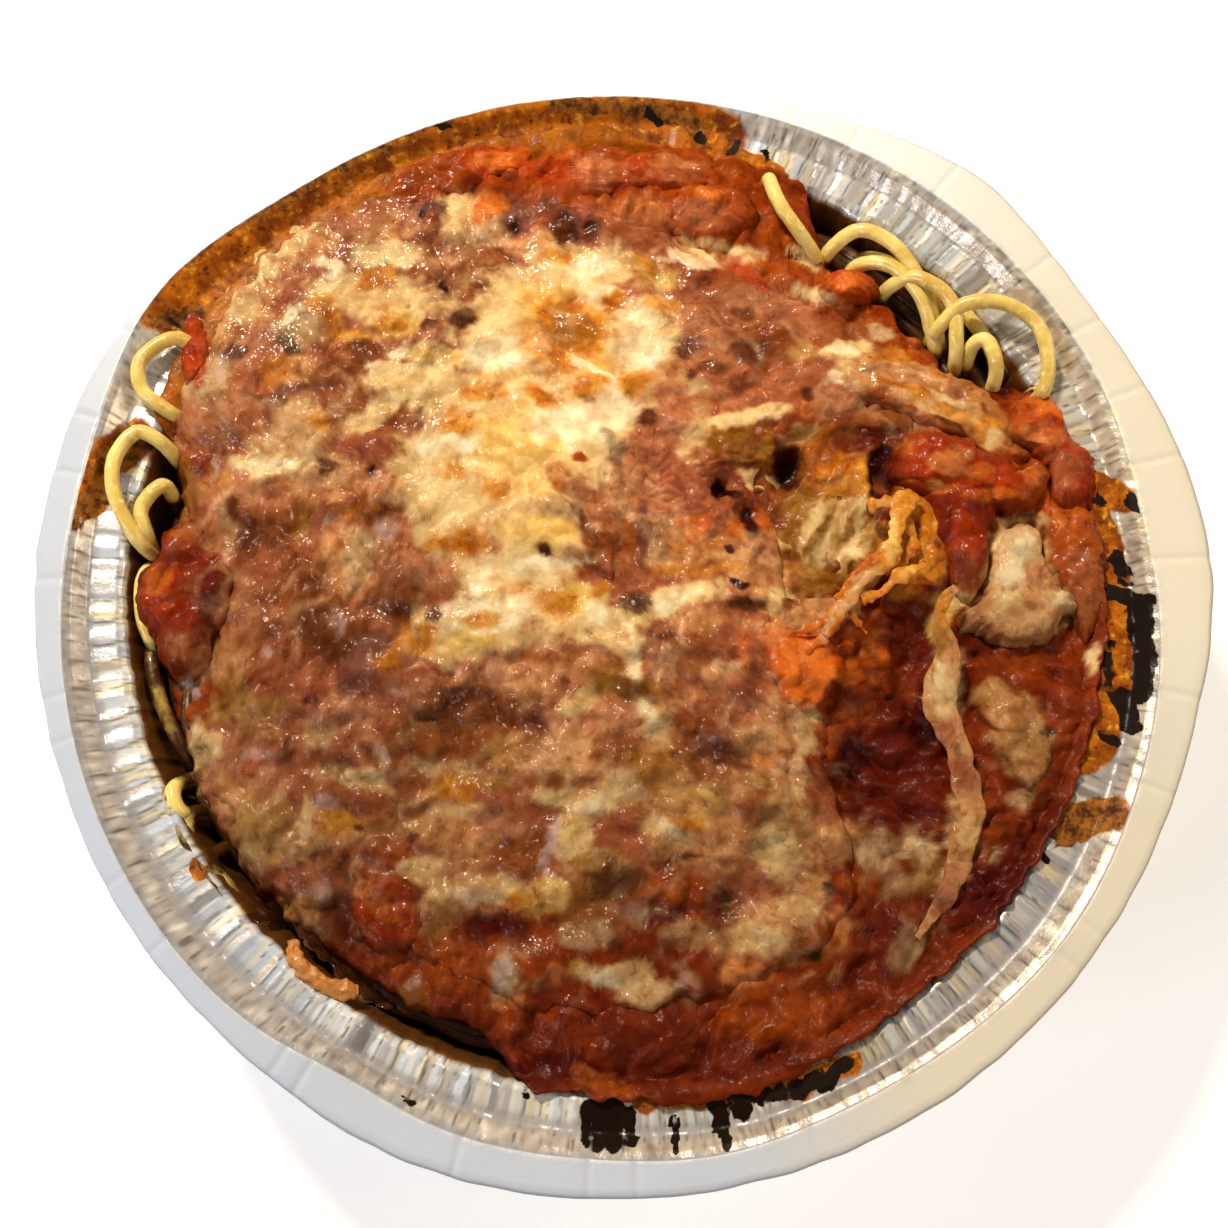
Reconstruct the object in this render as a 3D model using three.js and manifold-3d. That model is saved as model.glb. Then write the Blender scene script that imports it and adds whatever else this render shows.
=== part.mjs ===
// Spaghetti topped with breaded eggplant, tomato sauce and melted cheese, in a round foil takeaway container.
// Millimetres, +Z up. The origin is the centre of the container's flat base, and -Y is the side nearest the viewer.
import * as THREE from "three";
import { mergeVertices } from "three/addons/utils/BufferGeometryUtils.js";
import Module from "manifold-3d";

const wasm = await Module();
wasm.setup();

// Container
const LEDGE_RADIUS = 75.8;
const LEDGE_HEIGHT = 40;
const LEDGE_WIDTH = 5;
const FOLD_RADIUS = 84;
const FOLD_HEIGHT = 42.4;
const FLANGE_RADIUS = 90;
const BASE_RADIUS = 62;
const FOIL = 0.8;
const FLUTE = 0.35;
const PAN_SPOKES = 90;
const FOOD_SPOKES = 40;
// Soft bumps round the rim, each as angle in degrees, half width in degrees and height in millimetres.
const LEDGE_BUMPS = [[168, 14, 1.0], [226, 26, -1.4], [291, 18, 1.5]];
const FOLD_BUMPS = [[147, 13, 3.4], [243, 9, -1.8], [281, 10, 1], [322, 14, 0.9], [8, 12, -1.4]];
const FLANGE_BUMPS = [[5, 16, 3], [49, 10, 2.4], [92, 20, -2.7], [125, 14, -2.4], [205, 24, -2], [232, 14, -1.4]];
const FLANGE_DROPS = [[100, 34, 3.6], [200, 40, 2]];

// Food
const GAP = 0.35;
const NOODLE_RADIUS = 1.2;
const CORE_HEIGHT = 31;
const SAUCE_HEIGHT = 39;
const SAUCE_FLOOR = 24;
const CHEESE_THICKNESS = 3.2;
const CHEESE_EDGE = 1;
const FOOD_RADIUS = 76;
const SLICE_THICKNESS = 6;

const DEGREE = Math.PI / 180;

const bell = (x) => Math.exp(-x * x);

function bumps(angle, list) {
  return list.reduce((sum, [centre, width, height]) => {
    const away = ((angle - centre + 540) % 360) - 180;
    return sum + height * bell(away / width);
  }, 0);
}

// One between two angles and nought outside them, with soft ends.
function span(angle, from, to, soft) {
  const rise = THREE.MathUtils.smoothstep(angle, from - soft, from + soft);
  return rise * (1 - THREE.MathUtils.smoothstep(angle, to - soft, to + soft));
}

// A smooth hill or hollow, given as centre, spreads along X and Y and height.
function hill(x, y, [cx, cy, sx, sy, height]) {
  return height * bell(Math.hypot((x - cx) / sx, (y - cy) / sy));
}

const hills = (x, y, list) => list.reduce((sum, one) => sum + hill(x, y, one), 0);

function angleOf(x, y) {
  return (Math.atan2(y, x) / DEGREE + 360) % 360;
}

// Turns a closed geometry into a solid that faces outwards.
function solidOf(geometry) {
  const bare = geometry.clone();
  for (const name of Object.keys(bare.attributes)) {
    if (name !== "position") bare.deleteAttribute(name);
  }
  const merged = mergeVertices(bare, 1e-4);
  const vertProperties = merged.attributes.position.array;
  const triVerts = new Uint32Array(merged.index.array);
  const made = new wasm.Manifold(new wasm.Mesh({ numProp: 3, vertProperties, triVerts }));
  if (made.volume() > 0) return made;
  triVerts.reverse();
  return new wasm.Manifold(new wasm.Mesh({ numProp: 3, vertProperties, triVerts }));
}

// The largest body of a solid, without the scraps that a cut leaves.
function largest(solid) {
  const bodies = solid.decompose();
  return bodies.reduce((best, body) => (body.volume() > best.volume() ? body : best));
}

function meshOf(name, solid, material) {
  const { vertProperties, triVerts } = largest(solid).getMesh();
  const geometry = new THREE.BufferGeometry();
  geometry.setAttribute("position", new THREE.BufferAttribute(vertProperties, 3));
  geometry.setIndex(new THREE.BufferAttribute(triVerts, 1));
  const mesh = new THREE.Mesh(geometry, material);
  mesh.name = name;
  return mesh;
}

// Revolves a profile of [radius, height] points and sends each vertex to place(angle in degrees, point, spoke).
function revolve(profile, spokes, place) {
  const outline = profile.map(([radius, height]) => new THREE.Vector2(radius, height));
  const geometry = new THREE.LatheGeometry(outline, spokes);
  const position = geometry.attributes.position;
  for (let spoke = 0; spoke <= spokes; spoke++) {
    profile.forEach((point, i) => {
      const turn = spoke % spokes;
      const [x, y, z] = place((360 * turn) / spokes, point, turn);
      position.setXYZ(spoke * profile.length + i, x, y, z);
    });
  }
  return solidOf(geometry);
}

// A body between a bottom and a top surface. Its outline is a function of the angle round its centre.
function blanket(centre, outline, rings, spokes, top, bottom) {
  const profile = [[0, -1], [0.6, -1], [1, -1]];
  for (let ring = rings; ring >= 0; ring--) profile.push([ring / rings, 1]);
  return revolve(profile, spokes, (angle, [share, side]) => {
    const reach = share * outline(angle);
    const x = centre[0] + reach * Math.cos(angle * DEGREE);
    const y = centre[1] + reach * Math.sin(angle * DEGREE);
    return [x, y, side > 0 ? top(x, y, share) : bottom(x, y, share)];
  });
}

// Foil container
// Each profile point is radius, height and the zone whose waves it follows.
const panProfile = [
  [0, 0, "base"],
  [BASE_RADIUS - 4, 0, "base"],
  [BASE_RADIUS + 2.4, 1.2, "base"],
  [66.8, 5, "wall"],
  [74.8, 36, "wall"],
  [LEDGE_RADIUS + 0.6, LEDGE_HEIGHT - FOIL, "ledge"],
  [LEDGE_RADIUS + LEDGE_WIDTH + 0.3, LEDGE_HEIGHT - FOIL, "strip"],
  [FOLD_RADIUS, FOLD_HEIGHT - 1.1, "fold"],
  [FLANGE_RADIUS - 1.6, FOLD_HEIGHT - 1.9, "flange"],
  [FLANGE_RADIUS - 0.2, FOLD_HEIGHT - 2, "flange"],
  [FLANGE_RADIUS, FOLD_HEIGHT - 0.6, "flange"],
  [FLANGE_RADIUS - 1, FOLD_HEIGHT, "flange"],
  [FOLD_RADIUS + 0.4, FOLD_HEIGHT, "fold"],
  [FOLD_RADIUS - 1, FOLD_HEIGHT - 0.4, "fold"],
  [LEDGE_RADIUS + LEDGE_WIDTH, LEDGE_HEIGHT, "strip"],
  [LEDGE_RADIUS + 0.4, LEDGE_HEIGHT, "ledge"],
  [LEDGE_RADIUS - 0.5, LEDGE_HEIGHT - 0.6, "ledge"],
  [74, 36, "wall"],
  [66, 5.2, "wall"],
  [BASE_RADIUS + 1.8, 2, "base"],
  [BASE_RADIUS - 4, FOIL, "base"],
  [0, FOIL, "base"],
];

function panPlace(angle, [radius, height, zone], spoke) {
  const sign = spoke % 2 ? 1 : -1;
  const ledge = bumps(angle, LEDGE_BUMPS);
  const fold = bumps(angle, FOLD_BUMPS);
  let r = radius;
  let z = height;
  if (zone === "wall") r += (ledge * height) / LEDGE_HEIGHT + sign * FLUTE;
  if (zone === "ledge") r += ledge + sign * 0.15;
  if (zone === "strip") {
    r += (ledge + fold) / 2;
    z += sign * 0.2;
  }
  if (zone === "fold") r += fold;
  if (zone === "flange") {
    const share = (radius - FOLD_RADIUS) / (FLANGE_RADIUS - FOLD_RADIUS);
    const edge = FLANGE_RADIUS + bumps(angle, FLANGE_BUMPS);
    const from = FOLD_RADIUS + fold;
    r = from + (edge - from) * share;
    z -= bumps(angle, FLANGE_DROPS) * share;
  }
  return [r * Math.cos(angle * DEGREE), r * Math.sin(angle * DEGREE), z];
}

const pan = revolve(panProfile, PAN_SPOKES, panPlace);

// Everything that the food has to stay out of: the foil and what lies outside it, with a small clearance.
const panKeepOut = revolve(
  [
    [0, -5, "base"],
    [110, -5, "base"],
    [110, FOLD_HEIGHT + GAP, "base"],
    [FOLD_RADIUS - 1.4, FOLD_HEIGHT + GAP, "fold"],
    [LEDGE_RADIUS + LEDGE_WIDTH - 0.3, LEDGE_HEIGHT + GAP + 0.4, "strip"],
    [LEDGE_RADIUS - 0.8, LEDGE_HEIGHT + GAP + 0.1, "ledge"],
    [LEDGE_RADIUS - 1.4, LEDGE_HEIGHT - 1, "ledge"],
    [73.3, 36, "wall"],
    [65.2, 5.4, "wall"],
    [BASE_RADIUS + 1, 2.6, "base"],
    [BASE_RADIUS - 4, FOIL + GAP, "base"],
    [0, FOIL + GAP, "base"],
  ],
  FOOD_SPOKES,
  (angle, point) => panPlace(angle, point, 0),
);

// Spaghetti core: it fills the container to below the sauce and rises where noodles show at the wall.
const CORE_HILLS = [[0, 0, 45, 45, 3], [56, 44, 12, 12, 3], [-72, 0, 10, 34, 1.6], [-58, -38, 10, 12, 1]];
const coreTop = (x, y) => CORE_HEIGHT + hills(x, y, CORE_HILLS);
const coreSides = [[0, 2], [57, 2], [62.4, 3.4], [64.4, 6.2], [71, CORE_HEIGHT - 1]];

function coreBody(spread, lift) {
  const profile = [...coreSides];
  for (const radius of [66, 48, 24, 0]) profile.push([radius, CORE_HEIGHT]);
  return revolve(profile, 36, (angle, [radius, height]) => {
    const wall = radius > 57 ? spread + (bumps(angle, LEDGE_BUMPS) * height) / LEDGE_HEIGHT : 0;
    const reach = radius + wall;
    const x = reach * Math.cos(angle * DEGREE);
    const y = reach * Math.sin(angle * DEGREE);
    if (height < CORE_HEIGHT - 1) return [x, y, height - spread];
    const edge = height < CORE_HEIGHT ? 1.2 : 0;
    return [x, y, coreTop(x, y) + lift - edge];
  });
}

const core = coreBody(0, 0);
const coreKeepOut = coreBody(4, GAP);

// Tomato sauce
const SAUCE_HILLS = [
  [-10, 2, 46, 46, 4],
  [4, 66, 24, 8, 2.2],
  [44, -18, 9, 16, -4.2],
  [32, 14, 10, 10, -6],
  [-68, -14, 9, 30, -3],
  [-50, -54, 14, 10, -3],
  [60, 18, 12, 12, 1.6],
];

function sauceOutline(angle) {
  const overLedge = 3 * span(angle, 92, 152, 8);
  const leftGap = 6.4 * span(angle, 162, 258, 5);
  const noodleCorner = 11 * span(angle, 29, 62, 5);
  const bottom = 1.4 * span(angle, 272, 300, 8);
  return FOOD_RADIUS + overLedge - leftGap - noodleCorner + bottom;
}

function sauceTop(x, y, share = 0) {
  return SAUCE_HEIGHT + hills(x, y, SAUCE_HILLS) + 1.2 * span(angleOf(x, y), 85, 160, 10) - 0.8 * share ** 12;
}

function sauceBody(lift) {
  const outline = (angle) => sauceOutline(angle) + lift;
  return blanket([0, 0], outline, 7, FOOD_SPOKES, (x, y, share) => sauceTop(x, y, share) + lift, () => SAUCE_FLOOR - lift);
}

const sauceFull = sauceBody(0);
const sauceKeepOut = sauceBody(GAP);

// Breaded eggplant slices: centre, radius and the tilt of each round about X and Y in degrees.
const SLICES = [
  { name: "eggplant_lower_left", at: [-30, -44, 36.2], radius: 21.5, tilt: [5, 4] },
  { name: "eggplant_bottom", at: [0, -61, 35.6], radius: 13.4, tilt: [-6, 0] },
  { name: "eggplant_right", at: [36, 15, 36.8], radius: 16.5, tilt: [4, -6] },
];

function sliceBody({ at, radius, tilt }, extra) {
  const half = SLICE_THICKNESS / 2 + extra;
  const edge = radius + extra;
  const profile = [[0, -half], [edge - 2, -half], [edge, -half / 3], [edge, half / 2], [edge - 2.2, half], [0, half]];
  const turn = new THREE.Euler(tilt[0] * DEGREE, tilt[1] * DEGREE, 0);
  return revolve(profile, 24, (angle, [r, z]) => {
    const wave = 1 + 0.03 * Math.sin(3 * angle * DEGREE) + 0.02 * Math.cos(7 * angle * DEGREE);
    const point = new THREE.Vector3(r * wave * Math.cos(angle * DEGREE), r * wave * Math.sin(angle * DEGREE), z);
    point.applyEuler(turn).add(new THREE.Vector3(...at));
    return point.toArray();
  });
}

const sliceKeepOuts = SLICES.map((slice) => sliceBody(slice, GAP));
const slices = SLICES.map((slice) => sliceBody(slice, 0).subtract(panKeepOut).subtract(coreKeepOut));

const cutAll = (solid, cutters) => cutters.reduce((left, cutter) => left.subtract(cutter), solid);

const sauce = largest(cutAll(sauceFull, [coreKeepOut, panKeepOut, ...sliceKeepOuts]));

// Melted cheese sheet over the mound. Its outline is a closed curve through the corners that show.
const CHEESE_CENTRE = [-14, 14];
const CHEESE_CORNERS = [
  [34, -8], [33, -26], [37, -48], [22, -61], [-7, -66], [-28, -58], [-48, -50], [-62, -29], [-62, -8],
  [-68, 14], [-66, 34], [-50, 56], [-27, 66], [2, 62], [30, 50], [43, 38], [29, 26], [15, 16], [26, 3],
];
const cheeseEdge = new THREE.CatmullRomCurve3(
  CHEESE_CORNERS.map(([x, y]) => new THREE.Vector3(x, y, 0)),
  true,
);
const CHEESE_LUMPS = [
  [-6, 38, 16, 14, 1.4], [-14, 12, 14, 10, 1.2], [22, -18, 10, 12, 1.8], [-40, 20, 12, 16, 0.8],
  [-44, -14, 10, 12, 1], [4, -40, 14, 10, 0.9], [-10, -14, 9, 6, -1.4], [34, 40, 10, 7, 1],
];

function cheeseBody(lift) {
  const profile = [[0, -1], [0.6, -1], [1, -1]];
  for (const share of [1, 0.94, 0.74, 0.5, 0.25, 0]) profile.push([share, 1]);
  return revolve(profile, FOOD_SPOKES, (angle, [share, side]) => {
    const corner = cheeseEdge.getPoint(angle / 360);
    const x = CHEESE_CENTRE[0] + (corner.x - CHEESE_CENTRE[0]) * share;
    const y = CHEESE_CENTRE[1] + (corner.y - CHEESE_CENTRE[1]) * share;
    if (side < 0) return [x, y, SAUCE_HEIGHT - 8];
    const thickness = CHEESE_EDGE + (CHEESE_THICKNESS - CHEESE_EDGE) * (1 - share ** 6) + 0.4;
    return [x, y, sauceTop(x, y) + thickness + hills(x, y, CHEESE_LUMPS) * (1 - share ** 4) + lift];
  });
}

const cheese = largest(cutAll(cheeseBody(0), [sauceKeepOut, panKeepOut, ...sliceKeepOuts]));
const cheeseKeepOut = cheeseBody(GAP);

// Lumpy pieces, such as tomato chunks: centre, half sizes and turn about Z of each lobe.
function lobe({ at, size, turn = 0 }, extra) {
  const geometry = new THREE.IcosahedronGeometry(1, Math.max(...size) > 8 ? 2 : 1);
  const position = geometry.attributes.position;
  const point = new THREE.Vector3();
  for (let i = 0; i < position.count; i++) {
    point.fromBufferAttribute(position, i);
    const lump = 1 + 0.09 * Math.sin(4 * point.x + at[0]) * Math.cos(3.4 * point.y + at[1]) + 0.06 * Math.sin(5 * point.z);
    point.multiplyScalar(lump);
    point.set(point.x * (size[0] + extra), point.y * (size[1] + extra), point.z * (size[2] + extra));
    point.applyAxisAngle(new THREE.Vector3(0, 0, 1), turn * DEGREE).add(new THREE.Vector3(...at));
    position.setXYZ(i, ...point.toArray());
  }
  return solidOf(geometry);
}

const lobes = (list, extra) => list.map((one) => lobe(one, extra)).reduce((all, one) => all.add(one));

// A round or flattened strand along a smooth curve.
function strand(points, width, thickness, sides, steps) {
  const outline = new THREE.Shape();
  for (let i = 0; i < sides; i++) {
    const turn = (2 * Math.PI * (i + 0.5)) / sides;
    const corner = [0.5 * thickness * Math.cos(turn), 0.5 * width * Math.sin(turn)];
    if (i === 0) outline.moveTo(...corner);
    else outline.lineTo(...corner);
  }
  outline.closePath();
  const extrudePath = new THREE.CatmullRomCurve3(points.map((point) => new THREE.Vector3(...point)));
  return solidOf(new THREE.ExtrudeGeometry(outline, { steps, bevelEnabled: false, extrudePath }));
}

const TOMATOES = [
  { name: "tomato_left", lobes: [{ at: [-65, 4, 41], size: [7, 6, 4.6] }, { at: [-67, -3, 40.6], size: [6, 5, 4] }] },
  { name: "tomato_upper_left", lobes: [{ at: [-67, 38, 41.6], size: [2.6, 5.4, 2.4] }] },
  { name: "tomato_top_left", lobes: [{ at: [-31, 68, 42.6], size: [9, 4.4, 2.8], turn: 22 }] },
  { name: "tomato_top", lobes: [{ at: [-6, 71.6, 42.8], size: [14, 5, 3.4], turn: 4 }] },
  { name: "tomato_top_right", lobes: [{ at: [18, 66.4, 43], size: [9, 5.4, 3.8], turn: -28 }] },
  { name: "tomato_by_noodles", lobes: [{ at: [38.5, 51, 42.6], size: [4, 2.6, 2.2], turn: -30 }] },
  {
    name: "tomato_big_right",
    lobes: [{ at: [55, 18, 44], size: [11.5, 5.6, 4.4], turn: -16 }, { at: [52.5, 7, 43], size: [4.6, 9.5, 3.6] }],
  },
  { name: "tomato_right_edge", lobes: [{ at: [69, 23.5, 41.6], size: [5.6, 7, 4.4], turn: 20 }] },
  { name: "tomato_centre_right", lobes: [{ at: [28.4, -16, 44.2], size: [7.6, 4.8, 4.2], turn: -46 }] },
  { name: "tomato_lower_left", lobes: [{ at: [-27, -55, 43.4], size: [8, 5.6, 3], turn: 14 }] },
];

const RED = new THREE.MeshStandardMaterial({ color: 0xb53014, roughness: 0.35, metalness: 0 });
const CREAM = new THREE.MeshStandardMaterial({ color: 0xe0c48c, roughness: 0.45, metalness: 0 });

const group = new THREE.Group();
const keepOuts = [panKeepOut, sauceKeepOut, cheeseKeepOut, ...sliceKeepOuts];

// Adds a piece that lies on top of what is there, and keeps later pieces clear of it.
function lay(name, body, clearance, material) {
  group.add(meshOf(name, cutAll(body, keepOuts), material));
  keepOuts.push(clearance);
}

for (const tomato of TOMATOES) lay(tomato.name, lobes(tomato.lobes, 0), lobes(tomato.lobes, GAP), RED);

// Cheese that has come away on the right: the folded edge, the flap, its hanging strand and a patch.
const FLAP = [{ at: [64.5, 0.5, 43.4], size: [6.4, 9, 2.6], turn: 12 }];
const PATCH = [{ at: [62, -25, 40.4], size: [4.6, 9, 2], turn: 4 }];
lay("cheese_flap", lobes(FLAP, 0), lobes(FLAP, GAP), CREAM);
lay("cheese_patch", lobes(PATCH, 0), lobes(PATCH, GAP), CREAM);

const FOLD_PATH = [[37, 33, 43.4], [45, 33.6, 45], [54, 31.6, 44.6], [63, 27.4, 42.4]];
lay("cheese_fold", strand(FOLD_PATH, 8.5, 4.4, 8, 8), strand(FOLD_PATH, 9.2, 5.1, 8, 8), CREAM);

const STRAND_PATH = [[52, 8, 47], [51, -4, 44.4], [51, -16, 42.6], [53, -29, 41.4], [53, -39, 40.8], [48, -47, 40.4]];
lay("cheese_strand", strand(STRAND_PATH, 3.6, 2.4, 6, 14), strand(STRAND_PATH, 4.3, 3.1, 6, 14), CREAM);

const CRUST_PATH = [[41, 13, 41.6], [41.6, 7, 44.6], [38.6, -1, 45.6], [33, -7, 45.4]];
const CRUST = new THREE.MeshStandardMaterial({ color: 0xc87828, roughness: 0.6, metalness: 0 });
lay("crust_strand", strand(CRUST_PATH, 3.2, 1.8, 6, 9), strand(CRUST_PATH, 3.9, 2.5, 6, 9), CRUST);

// Noodles that arch out of the core into view, each from core to core.
const NOODLES = [
  [[34, 56.5, 33], [35.5, 58, 39], [40, 60, 42], [45.5, 57, 42.5], [50, 50, 41.5], [53, 43, 37], [54, 40, 33]],
  [[38, 54, 33], [40, 55, 39.5], [45, 53.5, 42], [49.5, 48.5, 41.5], [52, 42, 38], [53, 39.5, 33]],
  [[43, 50, 33], [45, 51, 40], [49, 51, 43.2], [54, 47, 43.2], [55, 40, 41], [55.5, 36, 33]],
  [
    [51, 42, 33], [52.5, 43.5, 41], [56, 46, 44], [62, 46, 44.6], [67.3, 42.5, 44.2], [69, 37, 43.2],
    [68.5, 32.5, 41], [67, 33, 36], [65.5, 33, 32],
  ],
  [[57, 37, 33], [57.5, 40, 41], [59.5, 40, 43.3], [61, 36, 42], [61, 33.5, 36], [60.5, 33.5, 32]],
  [[36, 57, 33], [34, 59.5, 40], [30, 63, 43.4], [27.5, 67, 44], [26.5, 71.5, 43], [27, 75, 42]],
  [[46, 54, 33], [51, 51.5, 38.5], [56.5, 47, 39.5], [61, 41, 38.5], [63, 37, 33]],
  [[39, 59, 32], [43, 57.5, 37], [48.5, 53.5, 38.6], [55, 46.5, 37.8], [59, 41, 32.5]],
  [[-67, 27, 33], [-70.5, 28, 41], [-74.5, 31, 42.6], [-75, 36, 42.8], [-70, 40, 42.2], [-65, 38, 38]],
  [
    [-68.5, 20, 33], [-71, 22.5, 41], [-75, 23.8, 42.4], [-78, 19, 42.6], [-77.3, 13, 42.3],
    [-74, 7, 40.5], [-71.5, 5, 36], [-70.5, 4.5, 32],
  ],
  [[-71, 2, 32], [-72.8, 8, 39.8], [-73.5, 12, 41], [-70.5, 15.5, 41.2], [-69.6, 14.5, 36], [-69.6, 14, 32]],
  [[-71, 6, 32], [-73, 2, 37.8], [-73, -4, 38], [-71.3, -9, 36.5], [-70, -11, 32]],
  [[-71, -5, 32], [-71.5, -11, 35.8], [-69.5, -18, 36], [-66, -25, 35], [-64.5, -28.5, 31]],
  [[-63.5, -29, 32], [-66, -31.5, 37.5], [-65, -35, 38], [-62, -36, 34], [-61.5, -35.5, 31]],
  [[-60.5, -34.5, 32], [-63.5, -35.5, 36.5], [-63, -39.5, 36], [-60, -41, 31]],
  [[-58, -39.5, 32], [-60.3, -42.2, 35], [-57, -46.5, 35.5], [-52.5, -50, 34], [-50, -51.5, 30.5]],
];
const noodles = NOODLES.map((points) =>
  strand(points, 2 * NOODLE_RADIUS, 2 * NOODLE_RADIUS, 5, Math.round(1.7 * points.length)),
);
const spaghetti = noodles.reduce((heap, noodle) => heap.add(largest(cutAll(noodle, keepOuts))), core);

const FOIL_FINISH = new THREE.MeshStandardMaterial({ color: 0xc9c9c6, roughness: 0.3, metalness: 1 });
const PASTA = new THREE.MeshStandardMaterial({ color: 0xe3cf86, roughness: 0.45, metalness: 0 });
const SAUCE = new THREE.MeshStandardMaterial({ color: 0x8f2410, roughness: 0.3, metalness: 0 });
const BREADING = new THREE.MeshStandardMaterial({ color: 0xb5702c, roughness: 0.8, metalness: 0 });

group.add(meshOf("pan", pan, FOIL_FINISH));
group.add(meshOf("spaghetti", spaghetti, PASTA));
group.add(meshOf("sauce", sauce, SAUCE));
group.add(meshOf("cheese", cheese, CREAM));
SLICES.forEach((slice, i) => group.add(meshOf(slice.name, slices[i], BREADING)));

export default group;
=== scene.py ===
"""Spaghetti with breaded eggplant, tomato sauce and browned cheese in a round foil container.

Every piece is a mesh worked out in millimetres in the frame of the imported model, then scaled to metres.
Marks on the food and the foil are placed where the photograph shows them: their tables give its pixels, and
`pixels` says which pixel of the photograph each point of a surface falls on.
"""

from math import cos, radians, sin

import bpy
import numpy as np
from mathutils import Matrix, Vector


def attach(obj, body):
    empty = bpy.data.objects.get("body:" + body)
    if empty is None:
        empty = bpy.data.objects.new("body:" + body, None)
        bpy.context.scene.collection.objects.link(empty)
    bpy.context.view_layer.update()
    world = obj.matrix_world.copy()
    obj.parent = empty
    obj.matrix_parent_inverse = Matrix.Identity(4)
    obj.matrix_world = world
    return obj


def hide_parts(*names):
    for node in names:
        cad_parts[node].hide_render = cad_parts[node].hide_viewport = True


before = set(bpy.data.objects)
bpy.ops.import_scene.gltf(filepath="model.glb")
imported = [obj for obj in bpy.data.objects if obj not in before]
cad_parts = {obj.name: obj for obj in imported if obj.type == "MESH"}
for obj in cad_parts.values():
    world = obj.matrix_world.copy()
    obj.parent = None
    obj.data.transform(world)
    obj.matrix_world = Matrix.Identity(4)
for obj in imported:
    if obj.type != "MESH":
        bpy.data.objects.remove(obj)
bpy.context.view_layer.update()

# Camera, in millimetres and pixels
TARGET = np.array((0.36, -4.5, 40.0))
DISTANCE = 260.0
ELEVATION = 75.0
ROLL = 0.4
FOCAL = 1686.0
PHOTO = 1228.0

# Container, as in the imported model
LEDGE_BUMPS = [(168, 14, 1.0), (226, 26, -1.4), (291, 18, 1.5)]
FOLD_BUMPS = [(147, 13, 3.4), (243, 9, -1.8), (281, 10, 1), (322, 14, 0.9), (8, 12, -1.4)]
FLANGE_BUMPS = [(5, 16, 3), (49, 10, 2.4), (92, 20, -2.7), (125, 14, -2.4), (205, 24, -2), (232, 14, -1.4)]
FLANGE_DROPS = [(100, 34, 3.6), (200, 40, 2)]
FOLD_RADIUS = 84.0
FLANGE_RADIUS = 90.0

# Food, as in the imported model
SAUCE_HILLS = [
    (-10, 2, 46, 46, 4), (4, 66, 24, 8, 2.2), (44, -18, 9, 16, -4.2), (32, 14, 10, 10, -6),
    (-68, -14, 9, 30, -3), (-50, -54, 14, 10, -3), (60, 18, 12, 12, 1.6), (40, -13, 6, 7, 2.6),
]
CHEESE_LUMPS = [
    (-6, 38, 16, 14, 1.4), (-14, 12, 14, 10, 1.2), (22, -18, 10, 12, 1.8), (-40, 20, 12, 16, 0.8),
    (-44, -14, 10, 12, 1), (4, -40, 14, 10, 0.9), (-10, -14, 9, 6, -1.4), (34, 40, 10, 7, 1),
]
CHEESE_CENTRE = (-14.0, 14.0)
CHEESE_CORNERS = [
    (34, -8), (33, -26), (37, -48), (22, -61), (-7, -66), (-28, -58), (-48, -50), (-62, -29), (-62, -8),
    (-68, 14), (-69, 34), (-61.5, 50), (-54, 59), (-38, 66), (-27, 66), (2, 62), (30, 50), (44, 36),
    (38, 27), (31, 22), (24.5, 20), (23.5, 16.5), (26.5, 11), (27.3, 3), (28.5, -4),
]


# Small mathematics
def smooth(low, high, x):
    t = np.clip((x - low) / (high - low), 0, 1)
    return t * t * (3 - 2 * t)


def blend(a, b, share):
    return a + (b - a) * share


def bumps(angle, table):
    """Soft bumps round the rim, each given as angle, half width in degrees and height."""
    total = np.zeros_like(angle)
    for centre, width, height in table:
        away = (angle - centre + 540) % 360 - 180
        total = total + height * np.exp(-((away / width) ** 2))
    return total


def span(angle, start, end, soft):
    """One between two angles and nought outside them, with soft ends."""
    return smooth(start - soft, start + soft, angle) * (1 - smooth(end - soft, end + soft, angle))


def hills(x, y, table):
    total = np.zeros_like(x)
    for cx, cy, sx, sy, height in table:
        total = total + height * np.exp(-(((x - cx) / sx) ** 2) - ((y - cy) / sy) ** 2)
    return total


def angle_of(x, y):
    return np.degrees(np.arctan2(y, x)) % 360


def scatter(cell, seed):
    """Three repeatable random numbers from 0 to 1 for each whole-numbered cell."""
    mask = np.uint64(0xFFFFFFFF)
    key = cell[..., 0] * 374761393 + cell[..., 1] * 668265263 + cell[..., 2] * 1442695041 + seed * 974634777
    key = key.astype(np.uint64) & mask
    drawn = []
    for factor in (2246822519, 3266489917, 668265263):
        key = ((key ^ (key >> np.uint64(15))) * np.uint64(factor)) & mask
        key = key ^ (key >> np.uint64(13))
        drawn.append(key.astype(np.float64) / 4294967296.0)
    return np.stack(drawn, axis=-1)


def noise(points, size, seed=0):
    """Smooth noise from about -1 to 1, whose lumps are about as large as size."""
    at = np.asarray(points, float) / size
    cell = np.floor(at).astype(np.int64)
    part = at - cell
    ease = part**3 * (part * (part * 6 - 15) + 10)
    total = np.zeros(at.shape[:-1])
    for number in range(8):
        corner = np.array([number & 1, number >> 1 & 1, number >> 2 & 1])
        weight = np.prod(np.where(corner, ease, 1 - ease), axis=-1)
        slope = scatter(cell + corner, seed) * 2 - 1
        total = total + weight * np.sum(slope * (part - corner), axis=-1)
    return total * 1.7


def rough(points, size, seed=0, octaves=3, fall=0.5):
    """Noise with finer and finer lumps added."""
    total = 0
    for octave in range(octaves):
        total = total + fall**octave * noise(points, size / 2**octave, seed + 31 * octave)
    return total


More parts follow.
